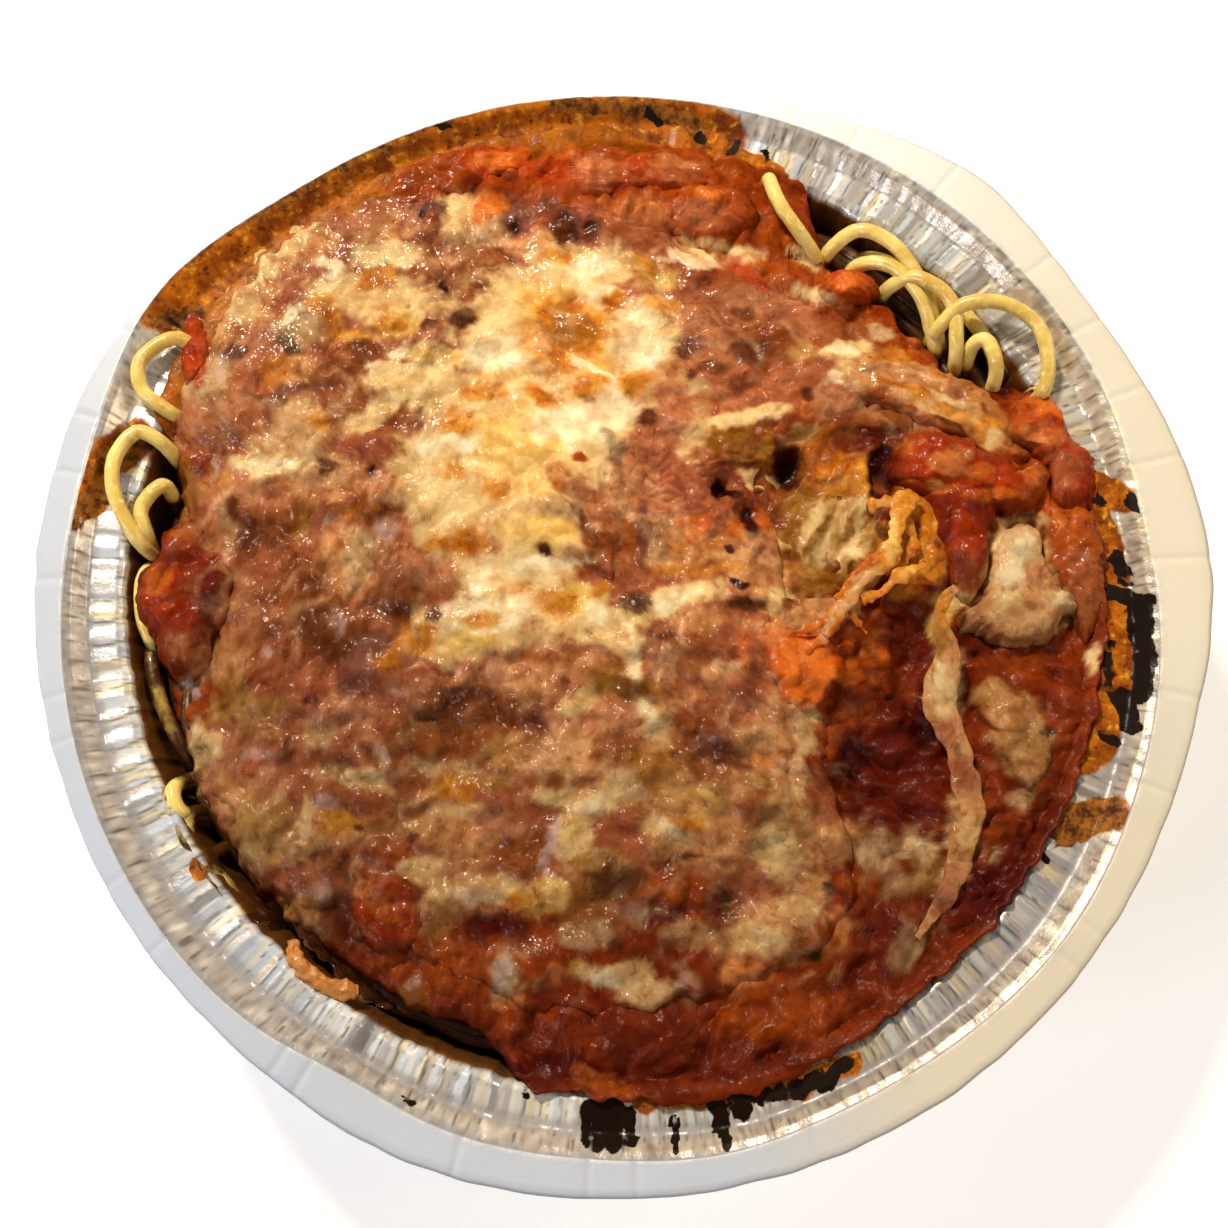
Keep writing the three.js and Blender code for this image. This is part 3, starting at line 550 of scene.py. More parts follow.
# The food as the photograph shows it, painted in this order: tone, softness of the edges, and soft
# ellipses, each as centre and half sizes in pixels, turn in degrees and, where it is faint, strength
PAINT = [
    ("sauce", 0.3, [(614, 620, 640, 640, 0)]),
    ("brick", 0.5, [
        (640, 180, 150, 50, 8), (420, 190, 90, 30, -14), (780, 260, 60, 30, 30), (930, 350, 80, 22, 26),
        (860, 400, 90, 50, 0), (1060, 480, 40, 60, 0), (500, 960, 60, 40, 0), (700, 900, 60, 40, 0),
        (830, 760, 22, 60, 0), (900, 560, 60, 50, 0), (420, 960, 50, 40, 0), (780, 1010, 70, 40, 0),
    ]),
    ("rose", 0.4, [
        (330, 320, 160, 130, -30), (560, 320, 190, 120, 0), (740, 350, 130, 72, 10), (330, 560, 150, 150, 0),
        (560, 560, 210, 190, 0), (460, 780, 270, 120, 8), (700, 690, 110, 110, 0), (320, 840, 110, 60, 30),
        (740, 820, 100, 80, 20), (900, 400, 90, 26, 20), (520, 860, 140, 56, 0),
    ]),
    ("pink", 0.6, [
        (210, 410, 40, 44, 0), (240, 490, 50, 30, 0), (235, 350, 30, 20, 0), (260, 610, 44, 30, 0),
        (240, 780, 50, 40, 0), (600, 500, 60, 60, 0), (560, 660, 80, 24, 0), (600, 725, 50, 26, 0),
        (720, 330, 46, 34, 0), (750, 335, 60, 26, 0, 0.5), (760, 300, 50, 16, 8), (840, 400, 36, 16, 0),
        (700, 420, 50, 34, 0), (430, 690, 50, 18, 0), (490, 835, 40, 22, 0), (760, 730, 44, 34, 0),
        (470, 280, 34, 34, 0), (395, 230, 50, 24, 0), (345, 715, 34, 18, 0), (400, 590, 50, 34, 0),
        (320, 840, 60, 30, 0),
    ]),
    ("tan", 0.6, [
        (300, 250, 40, 22, -24), (250, 300, 30, 26, 0), (225, 330, 18, 26, 0), (300, 370, 26, 20, 0),
        (480, 230, 36, 34, 0), (540, 245, 60, 14, 0), (400, 240, 50, 16, 0), (320, 480, 40, 30, 0),
        (340, 560, 24, 36, 0), (220, 660, 28, 26, 0), (240, 800, 34, 30, 0), (300, 925, 34, 24, 0),
        (560, 740, 40, 18, 0), (680, 780, 70, 36, 0), (700, 840, 50, 30, 0), (470, 860, 40, 26, 0),
        (320, 830, 40, 24, 0), (660, 370, 34, 20, 0), (700, 545, 60, 20, 0), (760, 575, 40, 20, 0),
        (890, 372, 50, 16, 10), (950, 392, 60, 16, 26), (985, 424, 34, 18, 32), (925, 415, 44, 10, 10),
        (845, 475, 44, 18, 0), (770, 930, 60, 34, -10), (840, 840, 24, 22, 0), (815, 870, 16, 34, 0),
        (780, 740, 24, 24, 0), (520, 690, 40, 10, 0), (590, 760, 60, 26, 0), (440, 820, 40, 26, 0),
    ]),
    ("brown", 0.55, [
        (440, 240, 44, 18, 0), (490, 270, 28, 34, 0), (470, 285, 26, 24, 0), (350, 372, 44, 34, 0),
        (345, 402, 34, 22, 0), (250, 440, 34, 24, 0, 0.5), (430, 428, 40, 22, 0), (250, 528, 40, 30, 0),
        (370, 508, 48, 16, 0), (300, 590, 40, 34, 0), (330, 640, 44, 30, 0), (250, 640, 50, 30, 0, 0.5),
        (400, 600, 40, 26, 0), (620, 540, 50, 24, 0), (690, 650, 44, 40, 0, 0.7), (720, 286, 60, 16, 0, 0.4),
        (730, 315, 24, 16, 0, 0.3), (400, 760, 40, 26, 0), (440, 735, 60, 26, 0), (545, 775, 22, 24, 0),
        (620, 752, 26, 16, 0), (520, 852, 36, 22, 0), (760, 345, 40, 26, 0), (710, 745, 40, 36, 0),
        (340, 856, 40, 16, 0), (250, 846, 26, 14, 0, 0.6), (420, 802, 24, 16, 0), (480, 735, 60, 24, 0),
        (600, 900, 60, 34, 0), (460, 590, 18, 18, 0, 0.8), (820, 935, 30, 24, 0), (850, 335, 40, 12, 0, 0.6),
        (450, 425, 24, 14, 0, 0.6), (730, 440, 28, 24, 0), (1020, 430, 22, 18, 0, 0.6),
        (655, 770, 30, 20, 0, 0.5), (690, 300, 40, 18, 0, 0.4),
    ]),
    ("olive", 0.5, [
        (732, 438, 26, 22, 0), (298, 520, 14, 28, 0), (235, 690, 18, 24, 0), (225, 708, 20, 18, 0),
        (600, 682, 26, 18, 0), (640, 690, 30, 14, 0), (655, 770, 34, 20, 0, 0.7), (620, 262, 24, 14, 0),
        (405, 404, 26, 9, 0), (185, 490, 14, 36, 0, 0.7), (815, 582, 24, 18, 0), (800, 540, 14, 40, 0, 0.7),
        (580, 905, 34, 22, 0, 0.5), (300, 905, 26, 12, 0, 0.6), (765, 455, 12, 18, 0),
        (455, 552, 22, 14, 0, 0.6), (690, 935, 24, 14, 0, 0.7), (440, 902, 24, 12, 0, 0.5),
        (415, 1000, 16, 20, 0, 0.7), (938, 612, 8, 34, 0, 0.9),
    ]),
    ("green_tan", 0.5, [
        (262, 826, 32, 26, 0), (275, 846, 34, 20, 0), (690, 802, 40, 22, 0), (600, 862, 34, 14, 0),
        (505, 752, 26, 20, 0, 0.8), (480, 782, 32, 14, 0), (430, 915, 24, 22, 0, 0.6), (760, 780, 16, 14, 0),
        (930, 872, 24, 22, 0), (1020, 730, 30, 36, 0), (990, 696, 16, 12, 0), (785, 832, 28, 46, 0),
        (800, 352, 16, 10, 0), (820, 440, 34, 14, 0), (850, 430, 30, 16, 0, 0.6), (265, 716, 26, 20, 0, 0.7),
        (385, 826, 28, 20, 0, 0.5), (580, 970, 14, 12, 0), (1030, 766, 18, 12, 0),
        (895, 888, 24, 14, 0, 0.7),
    ]),
    ("grey_cream", 0.5, [
        (300, 328, 30, 16, 0), (215, 378, 18, 26, 0), (205, 388, 24, 12, 0), (310, 470, 34, 22, 0),
        (460, 500, 34, 30, 0), (560, 512, 24, 28, 0), (620, 786, 22, 20, 0), (485, 234, 24, 14, 0),
        (320, 737, 20, 14, 0), (360, 560, 16, 30, 0), (380, 545, 14, 16, 0, 0.6), (655, 550, 18, 16, 0, 0.7),
        (430, 620, 20, 14, 0), (590, 932, 28, 14, 0, 0.6), (690, 935, 24, 12, 0, 0.5),
        (1020, 795, 14, 12, 0), (878, 850, 15, 20, -20), (995, 856, 8, 9, 0), (905, 945, 16, 26, 10),
        (955, 875, 14, 22, 10), (695, 390, 14, 11, 0), (500, 975, 16, 20, 0), (880, 336, 15, 10, 0),
    ]),
    ("cream", 0.6, [
        (575, 270, 60, 30, -6), (540, 300, 60, 40, 0), (500, 340, 44, 44, 0), (640, 335, 38, 34, 0),
        (590, 400, 60, 34, 0), (520, 420, 74, 54, 0), (560, 440, 60, 44, 0), (500, 480, 60, 40, 0),
        (430, 470, 34, 34, 0), (450, 510, 44, 50, 0), (530, 530, 50, 26, 0), (520, 570, 60, 18, 0),
        (500, 600, 46, 20, 0), (350, 292, 40, 16, 0), (390, 300, 40, 22, 0), (390, 256, 36, 13, 0),
        (300, 432, 34, 32, 0, 0.5), (285, 455, 36, 20, 0, 0.5), (385, 408, 40, 12, -30),
        (440, 352, 44, 12, 0), (425, 378, 60, 18, 0), (450, 392, 40, 26, 0), (436, 446, 40, 14, 0),
        (430, 300, 26, 14, 0, 0.6), (450, 626, 34, 18, 0), (460, 645, 30, 16, 0), (608, 630, 12, 34, -24),
        (634, 660, 11, 30, 0), (675, 600, 54, 13, -16), (640, 615, 20, 12, 0), (560, 618, 40, 9, 14),
        (575, 632, 34, 7, 14), (582, 700, 28, 12, 0), (655, 720, 18, 30, -15), (570, 796, 38, 13, 0),
        (600, 806, 24, 15, 0), (574, 832, 20, 24, 0), (665, 830, 22, 12, 26), (350, 778, 38, 11, 10),
        (306, 815, 9, 22, 8), (198, 744, 15, 28, -10), (214, 748, 12, 14, 0), (418, 870, 22, 14, 0),
        (442, 886, 18, 12, 0), (490, 890, 24, 14, 0), (470, 888, 18, 18, 0), (545, 888, 18, 13, 0),
        (615, 975, 34, 14, 0), (650, 992, 26, 14, 0), (775, 850, 20, 24, 0), (760, 936, 28, 18, 0),
        (800, 906, 22, 10, 20), (918, 846, 24, 15, 0), (845, 352, 30, 9, -8), (740, 415, 44, 10, -8),
        (700, 430, 14, 30, 20, 0.6), (720, 250, 40, 10, 8), (805, 258, 18, 9, 25),
        (820, 296, 26, 7, 20, 0.8), (855, 374, 22, 12, 0), (780, 600, 24, 11, 0), (820, 611, 44, 8, 0, 0.7),
        (760, 478, 30, 7, 32, 0.8), (782, 520, 8, 40, -4, 0.7), (820, 525, 32, 40, 0, 0.8),
        (858, 552, 20, 14, -40), (1020, 566, 40, 44, 0), (1045, 606, 30, 26, 0), (948, 680, 18, 44, 0),
        (965, 826, 17, 30, 0), (806, 726, 10, 30, 0), (800, 775, 9, 26, 0, 0.7), (728, 206, 13, 7, 10),
        (250, 862, 26, 14, 0, 0.4), (312, 222, 14, 9, -20), (284, 240, 22, 11, -16), (262, 268, 18, 12, -30),
        (240, 304, 16, 14, 0, 0.7), (455, 210, 18, 24, 0), (1092, 660, 7, 16, 0), (268, 465, 36, 8, 0),
        (980, 600, 30, 12, -10, 0.8), (446, 765, 34, 9, 0, 0.7), (455, 812, 26, 8, 0, 0.7),
        (505, 640, 60, 16, 0, 0.8), (462, 656, 30, 12, 0, 0.7), (622, 622, 10, 24, -35, 0.9),
        (634, 664, 10, 26, 5, 0.9), (655, 712, 13, 26, -10, 0.9), (292, 234, 20, 12, -30),
        (258, 262, 16, 14, -40), (218, 300, 14, 16, -40),
    ]),
    ("yellow", 0.6, [
        (520, 440, 50, 34, 0), (545, 300, 30, 18, 0), (395, 320, 22, 16, 0), (440, 354, 40, 8, 0),
        (575, 600, 30, 18, 0), (540, 530, 40, 18, 0), (470, 640, 24, 16, 0), (535, 896, 26, 18, 0),
        (660, 276, 24, 16, 0, 0.8), (500, 372, 24, 10, 0, 0.7), (595, 352, 24, 12, 0, 0.7),
        (942, 622, 12, 26, 0), (520, 478, 34, 20, 0, 0.7), (570, 830, 14, 12, 0, 0.6),
        (704, 797, 10, 6, 0, 0.8),
    ]),
    # Whitest cheese, and in the thin streaks painted highlights
    ("white", 0.6, [
        (330, 268, 20, 9, 0), (290, 318, 26, 5, -30), (590, 300, 26, 11, 0), (635, 338, 28, 26, 0),
        (495, 350, 26, 20, 0), (570, 420, 44, 26, 0), (610, 412, 26, 20, 0), (590, 268, 20, 14, 0),
        (625, 400, 16, 18, 0), (520, 604, 30, 11, -10), (548, 563, 40, 9, -8), (482, 574, 16, 8, -40),
        (600, 612, 12, 14, -24), (634, 664, 7, 18, 0), (676, 600, 26, 7, -18), (600, 372, 40, 5, 22),
        (568, 354, 24, 4, 32), (455, 440, 22, 9, 0), (420, 446, 18, 8, 0), (400, 352, 14, 6, 0),
        (382, 362, 12, 5, 0), (588, 806, 22, 8, 0), (668, 832, 12, 6, 34), (862, 550, 12, 7, -40),
        (848, 376, 20, 6, -10), (1018, 546, 20, 20, 0), (1060, 600, 16, 10, 0), (918, 842, 12, 8, 0),
        (606, 978, 14, 7, 0), (194, 730, 8, 8, 0), (448, 628, 16, 8, 0), (500, 622, 42, 8, -10, 0.8),
        (624, 620, 5, 18, -35, 0.8), (636, 664, 5, 18, 5, 0.8), (470, 602, 28, 8, -10, 0.8),
        (652, 712, 9, 16, -15, 0.7), (690, 258, 30, 4, 10, 0.7), (270, 466, 30, 4, 0, 0.7),
        (842, 352, 18, 5, -8),
    ]),
    ("gold", 0.6, [
        (575, 326, 48, 32, 10), (378, 282, 20, 13, 0), (330, 310, 22, 12, 25), (390, 318, 15, 11, 0),
        (355, 336, 24, 9, 0), (555, 358, 30, 14, 20), (540, 398, 24, 12, 0), (590, 384, 24, 12, 0),
        (637, 380, 16, 11, 0), (616, 304, 14, 11, 0), (555, 255, 24, 9, 0), (480, 390, 22, 10, 0),
        (460, 424, 20, 14, 0), (322, 420, 14, 8, 0), (495, 490, 16, 14, 0), (450, 474, 12, 10, 0),
        (440, 545, 18, 10, 0), (470, 540, 20, 12, 0), (420, 640, 26, 18, 0), (480, 618, 20, 12, 0),
        (560, 604, 26, 16, 0), (456, 788, 30, 15, 0), (520, 904, 18, 11, 0), (345, 820, 28, 14, 0),
        (690, 822, 16, 9, 0), (520, 588, 11, 8, 0), (660, 305, 20, 6, 30), (870, 468, 14, 12, 0),
        (893, 360, 20, 9, 0), (700, 568, 44, 8, 0, 0.7), (215, 480, 14, 14, 0, 0.6),
        (650, 262, 16, 12, 0, 0.7),
    ]),
    ("amber", 0.55, [
        (570, 324, 32, 22, 22), (552, 352, 15, 7, 18), (582, 388, 14, 8, 0), (536, 396, 13, 7, 0),
        (618, 304, 9, 8, 0), (456, 546, 22, 12, 0), (512, 906, 12, 7, 0), (604, 588, 10, 7, 0),
        (582, 567, 10, 6, 0), (385, 660, 16, 14, 0), (278, 372, 16, 20, 0, 0.8), (375, 284, 12, 8, 0, 0.7),
        (460, 792, 18, 8, 0, 0.7), (372, 512, 40, 7, 0), (560, 476, 15, 13, 0), (640, 380, 9, 7, 0, 0.7),
        (330, 312, 12, 7, 25), (845, 474, 30, 10, 0, 0.6), (700, 545, 30, 8, 0, 0.6),
    ]),
    ("purple", 0.5, [
        (235, 352, 13, 9, 0), (300, 388, 40, 6, -4), (320, 520, 14, 16, 0, 0.6), (370, 642, 24, 14, 0),
        (352, 672, 20, 28, 0), (640, 530, 7, 36, 0), (515, 218, 18, 16, 0), (550, 206, 14, 9, 0),
        (566, 222, 20, 18, 0), (752, 352, 22, 14, 0), (718, 736, 18, 11, 0), (722, 752, 16, 7, 0),
        (287, 753, 10, 15, 0), (268, 758, 12, 10, 0, 0.6), (540, 706, 12, 20, 0, 0.6),
        (740, 700, 18, 9, 0, 0.7), (428, 212, 15, 8, 0), (475, 480, 16, 8, 0, 0.3),
        (625, 905, 14, 11, 0, 0.5), (690, 346, 16, 11, 0), (270, 636, 14, 11, 0, 0.5),
        (398, 575, 20, 12, 0, 0.4), (593, 222, 14, 12, 0), (520, 945, 22, 11, 0, 0.6),
    ]),
    ("dark", 0.5, [
        (228, 515, 12, 20, 0, 0.9), (250, 532, 15, 20, 0), (272, 536, 14, 14, 0, 0.7), (328, 468, 13, 9, 0),
        (385, 512, 30, 5, 0, 0.7), (315, 588, 15, 10, 0, 0.7), (312, 630, 20, 22, 0, 0.6),
        (332, 646, 22, 14, 0, 0.9), (398, 606, 15, 9, 0), (416, 580, 8, 8, 0, 0.8), (437, 615, 8, 8, 0),
        (490, 706, 58, 20, 4, 0.7), (460, 698, 26, 12, 0), (636, 692, 28, 12, 0, 0.8),
        (600, 690, 16, 10, 0, 0.5), (640, 602, 14, 9, 0), (652, 418, 9, 11, 0), (738, 315, 12, 8, 0, 0.8),
        (748, 352, 15, 10, 0, 0.7), (712, 368, 16, 6, 0, 0.8), (690, 374, 7, 7, 0), (465, 318, 14, 8, 0),
        (430, 322, 9, 9, 0), (446, 288, 9, 12, 0, 0.7), (735, 755, 24, 12, 0, 0.7),
        (700, 745, 14, 16, 0, 0.5), (676, 861, 22, 5, -10), (343, 861, 6, 4, 0), (369, 862, 5, 10, 0),
        (362, 825, 8, 5, 0), (410, 838, 8, 6, 0), (332, 763, 16, 8, 0, 0.8), (287, 756, 7, 11, 0, 0.8),
        (340, 920, 26, 38, 0, 0.7), (620, 882, 38, 18, -10, 0.8), (615, 945, 8, 10, 0, 0.7),
        (582, 522, 5, 26, -20, 0.7), (545, 549, 7, 8, 0), (568, 660, 6, 5, 0, 0.6), (558, 676, 6, 5, 0, 0.6),
        (805, 396, 10, 7, 0), (870, 412, 26, 16, 0, 0.6), (282, 399, 9, 6, 0), (362, 350, 12, 10, 0, 0.5),
        (590, 396, 12, 3, 10, 0.6), (764, 822, 24, 18, 0, 0.5), (765, 352, 10, 12, 0, 0.6),
        (475, 285, 6, 5, 0, 0.6), (560, 228, 12, 10, 0), (515, 226, 8, 7, 0), (593, 220, 10, 8, 0, 0.8),
        (745, 603, 15, 8, 0), (965, 412, 24, 3, 44, 0.8), (440, 720, 40, 12, 0, 0.5),
        (195, 773, 9, 7, 0, 0.8), (545, 512, 10, 10, 0, 0.3),
    ]),
    ("olive", 0.5, [(572, 326, 28, 19, 20, 0.6), (600, 690, 20, 14, 0, 0.4)]),
    ("tan", 0.5, [
        (538, 274, 24, 16, 0, 0.55), (545, 664, 70, 10, 0, 0.5), (700, 620, 30, 14, 0, 0.6),
        (722, 668, 24, 13, -10, 0.8), (764, 742, 26, 18, 0, 0.8), (690, 694, 24, 10, 0, 0.5),
        (780, 700, 14, 24, 0, 0.6),
    ]),
    ("pale", 0.5, [(728, 664, 14, 7, -10, 0.7), (780, 762, 16, 6, -20, 0.7), (668, 664, 12, 18, 0, 0.5),
        (796, 716, 5, 30, -6, 0.7)]),
    ("brick", 0.5, [
        (870, 650, 34, 18, 20), (900, 600, 30, 20, 0), (390, 850, 28, 14, 0, 0.6),
        (670, 892, 34, 14, 0, 0.8), (282, 304, 14, 8, 0, 0.6), (205, 692, 20, 14, 0), (185, 715, 12, 22, 0),
        (255, 768, 12, 14, 0, 0.8), (700, 900, 26, 22, 0), (861, 880, 28, 16, 0), (880, 392, 18, 11, 0),
        (850, 302, 18, 12, 0, 0.6), (584, 455, 8, 7, 0), (425, 215, 7, 5, 0), (540, 655, 18, 14, 0, 0.6),
        (1075, 480, 22, 30, 0, 0.8), (700, 405, 18, 9, 0, 0.5), (820, 935, 20, 18, 0, 0.6),
        (990, 832, 14, 16, 0), (765, 985, 22, 12, 0), (530, 1020, 24, 18, 0), (540, 960, 24, 22, 0, 0.7),
        (1010, 660, 30, 16, 0, 0.6),
    ]),
    # Deep red sauce, and painted shade in the low places between the pieces
    ("deep_red_and_shade", 0.6, [
        (900, 745, 44, 36, 0), (900, 790, 54, 60, 0, 0.8), (912, 640, 22, 40, 0, 0.7), (850, 760, 30, 26, 0),
        (490, 928, 34, 13, 0), (440, 1050, 80, 18, 12), (560, 1070, 80, 18, 8), (720, 912, 20, 30, 0, 0.8),
        (662, 915, 20, 9, 0), (1000, 640, 50, 18, 0, 0.7), (990, 890, 60, 34, -30), (880, 462, 22, 30, 0),
        (885, 940, 26, 40, 0, 0.7), (720, 1060, 120, 20, -4, 0.6), (310, 700, 9, 8, 0),
        (345, 912, 22, 24, 0, 0.4), (1055, 830, 30, 30, 0, 0.5), (380, 1010, 60, 20, 26),
        (600, 1040, 100, 30, 0, 0.4), (475, 935, 10, 14, 0), (830, 985, 30, 12, -10, 0.6),
        (1000, 395, 16, 4, 10), (955, 372, 10, 5, 0), (925, 720, 20, 30, 0), (940, 640, 6, 20, 0, 0.6),
    ]),
    # Painted shade: near-black in holes, cavities and gaps
    ("shaded_pit", 0.45, [
        (722, 490, 17, 10, 0), (746, 520, 10, 22, -24), (788, 467, 15, 20, 10), (880, 460, 10, 20, 0),
        (850, 758, 26, 18, -20, 0.8), (738, 583, 7, 4, 0), (729, 549, 6, 4, 0), (372, 470, 6, 6, 0),
        (892, 480, 10, 12, 0, 0.8), (864, 440, 20, 7, -10, 0.8), (690, 908, 16, 7, 0, 0.6),
        (925, 735, 14, 14, 0, 0.8), (848, 572, 4, 9, 24), (240, 920, 30, 12, 50, 0.7),
        (900, 600, 12, 10, 0, 0.7), (885, 572, 9, 6, -30, 0.8),
    ]),
    ("orange", 0.5, [
        (862, 636, 20, 14, 0, 0.9), (852, 668, 9, 20, 0, 0.7), (880, 654, 12, 9, 0, 0.6),
        (878, 684, 9, 7, 0, 0.5), (490, 208, 20, 11, -32), (500, 156, 34, 12, -8), (850, 281, 26, 11, 10),
        (695, 525, 17, 9, 0), (736, 532, 12, 8, 0, 0.8), (800, 640, 34, 12, 0), (775, 624, 34, 10, 0, 0.8),
        (708, 200, 14, 6, 10), (805, 410, 14, 8, 0, 0.7), (600, 1086, 34, 12, 20, 0.5),
        (400, 168, 40, 12, -22, 0.6), (560, 148, 26, 8, 0, 0.7), (766, 520, 6, 18, -10, 0.6),
        (746, 640, 5, 22, 0, 0.7), (950, 394, 44, 6, 26, 0.4), (1040, 404, 26, 10, 20, 0.5),
    ]),
    ("red", 0.5, [
        (386, 912, 28, 26, 0), (195, 350, 14, 30, 10), (600, 172, 40, 22, 0, 0.5),
        (560, 170, 40, 16, 0, 0.7), (660, 176, 46, 18, 0, 0.4), (740, 268, 40, 8, 34, 0.7),
        (450, 182, 50, 14, -14, 0.6),
    ]),
    # Peach, partly pinkish tomato and partly painted highlights
    ("peach_and_highlight", 0.5, [
        (595, 168, 26, 16, 0, 0.6), (675, 164, 34, 10, 0, 0.5), (640, 208, 36, 14, 12, 0.4),
        (706, 216, 26, 10, 0, 0.35), (365, 890, 12, 5, -10, 0.8), (1060, 410, 18, 10, 30, 0.6),
        (1040, 440, 30, 20, 0, 0.35), (765, 752, 14, 7, 0, 0.8), (735, 970, 18, 12, 0, 0.7),
        (840, 925, 10, 22, -10, 0.6), (555, 975, 8, 14, 0, 0.7), (510, 1004, 20, 7, 0, 0.7),
    ]),
    # Painted highlights: small bluish-white glints
    ("bluish_highlight", 0.6, [
        (222, 368, 4, 20, 8, 0.5), (215, 470, 5, 20, 20, 0.6), (335, 522, 8, 10, 0, 0.6),
        (258, 752, 16, 8, 20, 0.55), (190, 686, 11, 10, 0, 0.8), (325, 801, 14, 5, 10, 0.8),
        (552, 838, 6, 18, 14, 0.7), (547, 862, 7, 14, 10, 0.7), (500, 972, 11, 15, 10, 0.7),
        (470, 892, 14, 10, 0, 0.5), (322, 893, 11, 10, 0, 0.5), (388, 530, 10, 10, 0, 0.5),
        (335, 622, 9, 9, 0, 0.5), (380, 756, 9, 12, 0, 0.5), (415, 986, 9, 8, 0, 0.6),
        (720, 733, 12, 6, 0, 0.3), (640, 912, 12, 10, 0, 0.35), (262, 658, 8, 5, 0, 0.6),
        (400, 690, 14, 5, 0, 0.4), (676, 976, 6, 14, 40, 0.5),
    ]),
    ("herb", 0.4, [
        (290, 345, 13, 8, 10, 0.85), (727, 900, 9, 12, 0, 0.8), (816, 956, 8, 5, 0, 0.9),
        (830, 886, 9, 8, 0, 0.9), (1052, 730, 12, 2.5, -24, 0.9), (376, 566, 5, 9, 0, 0.4),
        (222, 578, 10, 9, 0, 0.7), (1026, 514, 7, 4, 0, 0.8),
    ]),
    ("onion", 0.4, [(610, 436, 7, 16, -30, 0.9), (620, 452, 8, 10, -20, 0.8), (427, 525, 5, 4, 0, 0.9)]),
    # Char, and painted shade in the smallest holes and cavities
    ("black", 0.4, [
        (446, 288, 4.5, 8, 0), (430, 319, 4, 4, 0, 0.8), (406, 302, 4, 3, 0, 0.6), (565, 218, 9, 7, 0, 0.8),
        (573, 228, 6, 6, 0, 0.8), (516, 228, 5, 4, 0, 0.8), (592, 219, 7, 5, 0, 0.8),
        (718, 489, 11, 8, 0, 0.9), (744, 602, 7, 4, 0, 0.6), (655, 637, 4, 3, 0), (668, 637, 8, 4, -14, 0.7),
        (642, 603, 6, 4, 0, 0.6), (788, 470, 9, 14, 10, 0.9), (545, 549, 4, 4, 0, 0.6),
        (419, 212, 5, 5, 0, 0.8), (372, 470, 4, 4, 0),
    ]),
]
# The tomato pieces, painted the same way, with painted sheen on their tops and painted shade along their
# edges
TOMATO_PAINT = [
    ("brick", 0.3, [(614, 620, 640, 640, 0)]),
    ("crimson", 0.5, [(940, 500, 60, 90, 0), (1010, 485, 60, 40, 0), (180, 600, 60, 90, 0),
        (1070, 470, 40, 70, 0)]),
    ("red", 0.5, [
        (925, 452, 34, 18, 0), (1000, 482, 40, 18, 0), (966, 540, 16, 34, 0, 0.6), (800, 668, 42, 40, 0),
        (386, 916, 34, 32, 0), (184, 536, 18, 10, 0, 0.7), (163, 590, 22, 28, 0, 0.8), (500, 160, 40, 18, 0),
        (850, 282, 26, 16, 0), (560, 172, 40, 20, 0), (640, 170, 30, 16, 0, 0.6), (195, 348, 16, 34, 0),
    ]),
    ("orange", 0.55, [
        (902, 446, 14, 8, 0, 0.8), (936, 484, 24, 6, 8, 0.8), (1002, 496, 36, 7, 0, 0.8),
        (1040, 474, 14, 16, 0), (802, 668, 38, 38, 0), (772, 632, 24, 16, 0), (858, 634, 30, 20, 0),
        (880, 612, 22, 12, 0), (850, 284, 22, 10, 0), (495, 158, 30, 10, -8), (157, 580, 14, 16, 0, 0.7),
        (182, 532, 12, 6, 0, 0.6), (382, 906, 16, 16, 0, 0.7), (708, 200, 14, 7, 0),
        (1048, 400, 30, 12, 10, 0.8), (560, 156, 16, 8, 0, 0.6), (980, 470, 16, 10, 0, 0.7),
    ]),
    ("rose", 0.55, [
        (596, 172, 28, 18, 0, 0.8), (674, 172, 36, 14, 0, 0.7), (632, 214, 34, 16, 10, 0.8),
        (698, 216, 32, 15, 8, 0.8), (186, 650, 24, 20, 0, 0.8), (1062, 472, 22, 24, 0, 0.6),
        (966, 572, 14, 20, 0, 0.5), (1075, 420, 14, 30, 0, 0.6),
    ]),
    # Painted sheen: peach highlights on the tops of the tomato pieces
    ("peach_and_highlight", 0.6, [
        (950, 462, 20, 8, 20, 0.75), (962, 452, 12, 8, 0, 0.6), (592, 164, 20, 8, 0, 0.6),
        (680, 164, 26, 7, 0, 0.5), (365, 892, 13, 6, -10, 0.8), (808, 655, 12, 10, 0, 0.5),
        (1040, 432, 22, 12, 0, 0.5), (178, 640, 12, 7, 0, 0.5), (958, 585, 8, 12, 0, 0.5),
        (905, 440, 10, 5, 0, 0.6),
    ]),
    ("gold", 0.6, [(936, 480, 8, 6, 0, 0.8), (1026, 462, 6, 8, 0, 0.9), (888, 606, 10, 6, 0, 0.8),
        (748, 640, 5, 16, 0, 0.7)]),
    # Deep red, with painted shade along the pieces' edges and lower sides
    ("deep_red_and_shade", 0.6, [
        (982, 488, 8, 4, 0, 0.7), (946, 530, 8, 30, 0, 0.7), (964, 575, 14, 20, 0, 0.5),
        (214, 590, 15, 34, 0, 0.8), (900, 645, 14, 16, 0, 0.9), (838, 690, 14, 12, 0, 0.8),
        (420, 925, 8, 14, 0, 0.6), (668, 190, 10, 7, 0, 0.7), (1062, 506, 30, 8, 0, 0.7),
        (976, 506, 8, 14, 0, 0.6), (765, 665, 6, 18, 0, 0.5), (620, 186, 30, 4, 6, 0.7),
    ]),
]
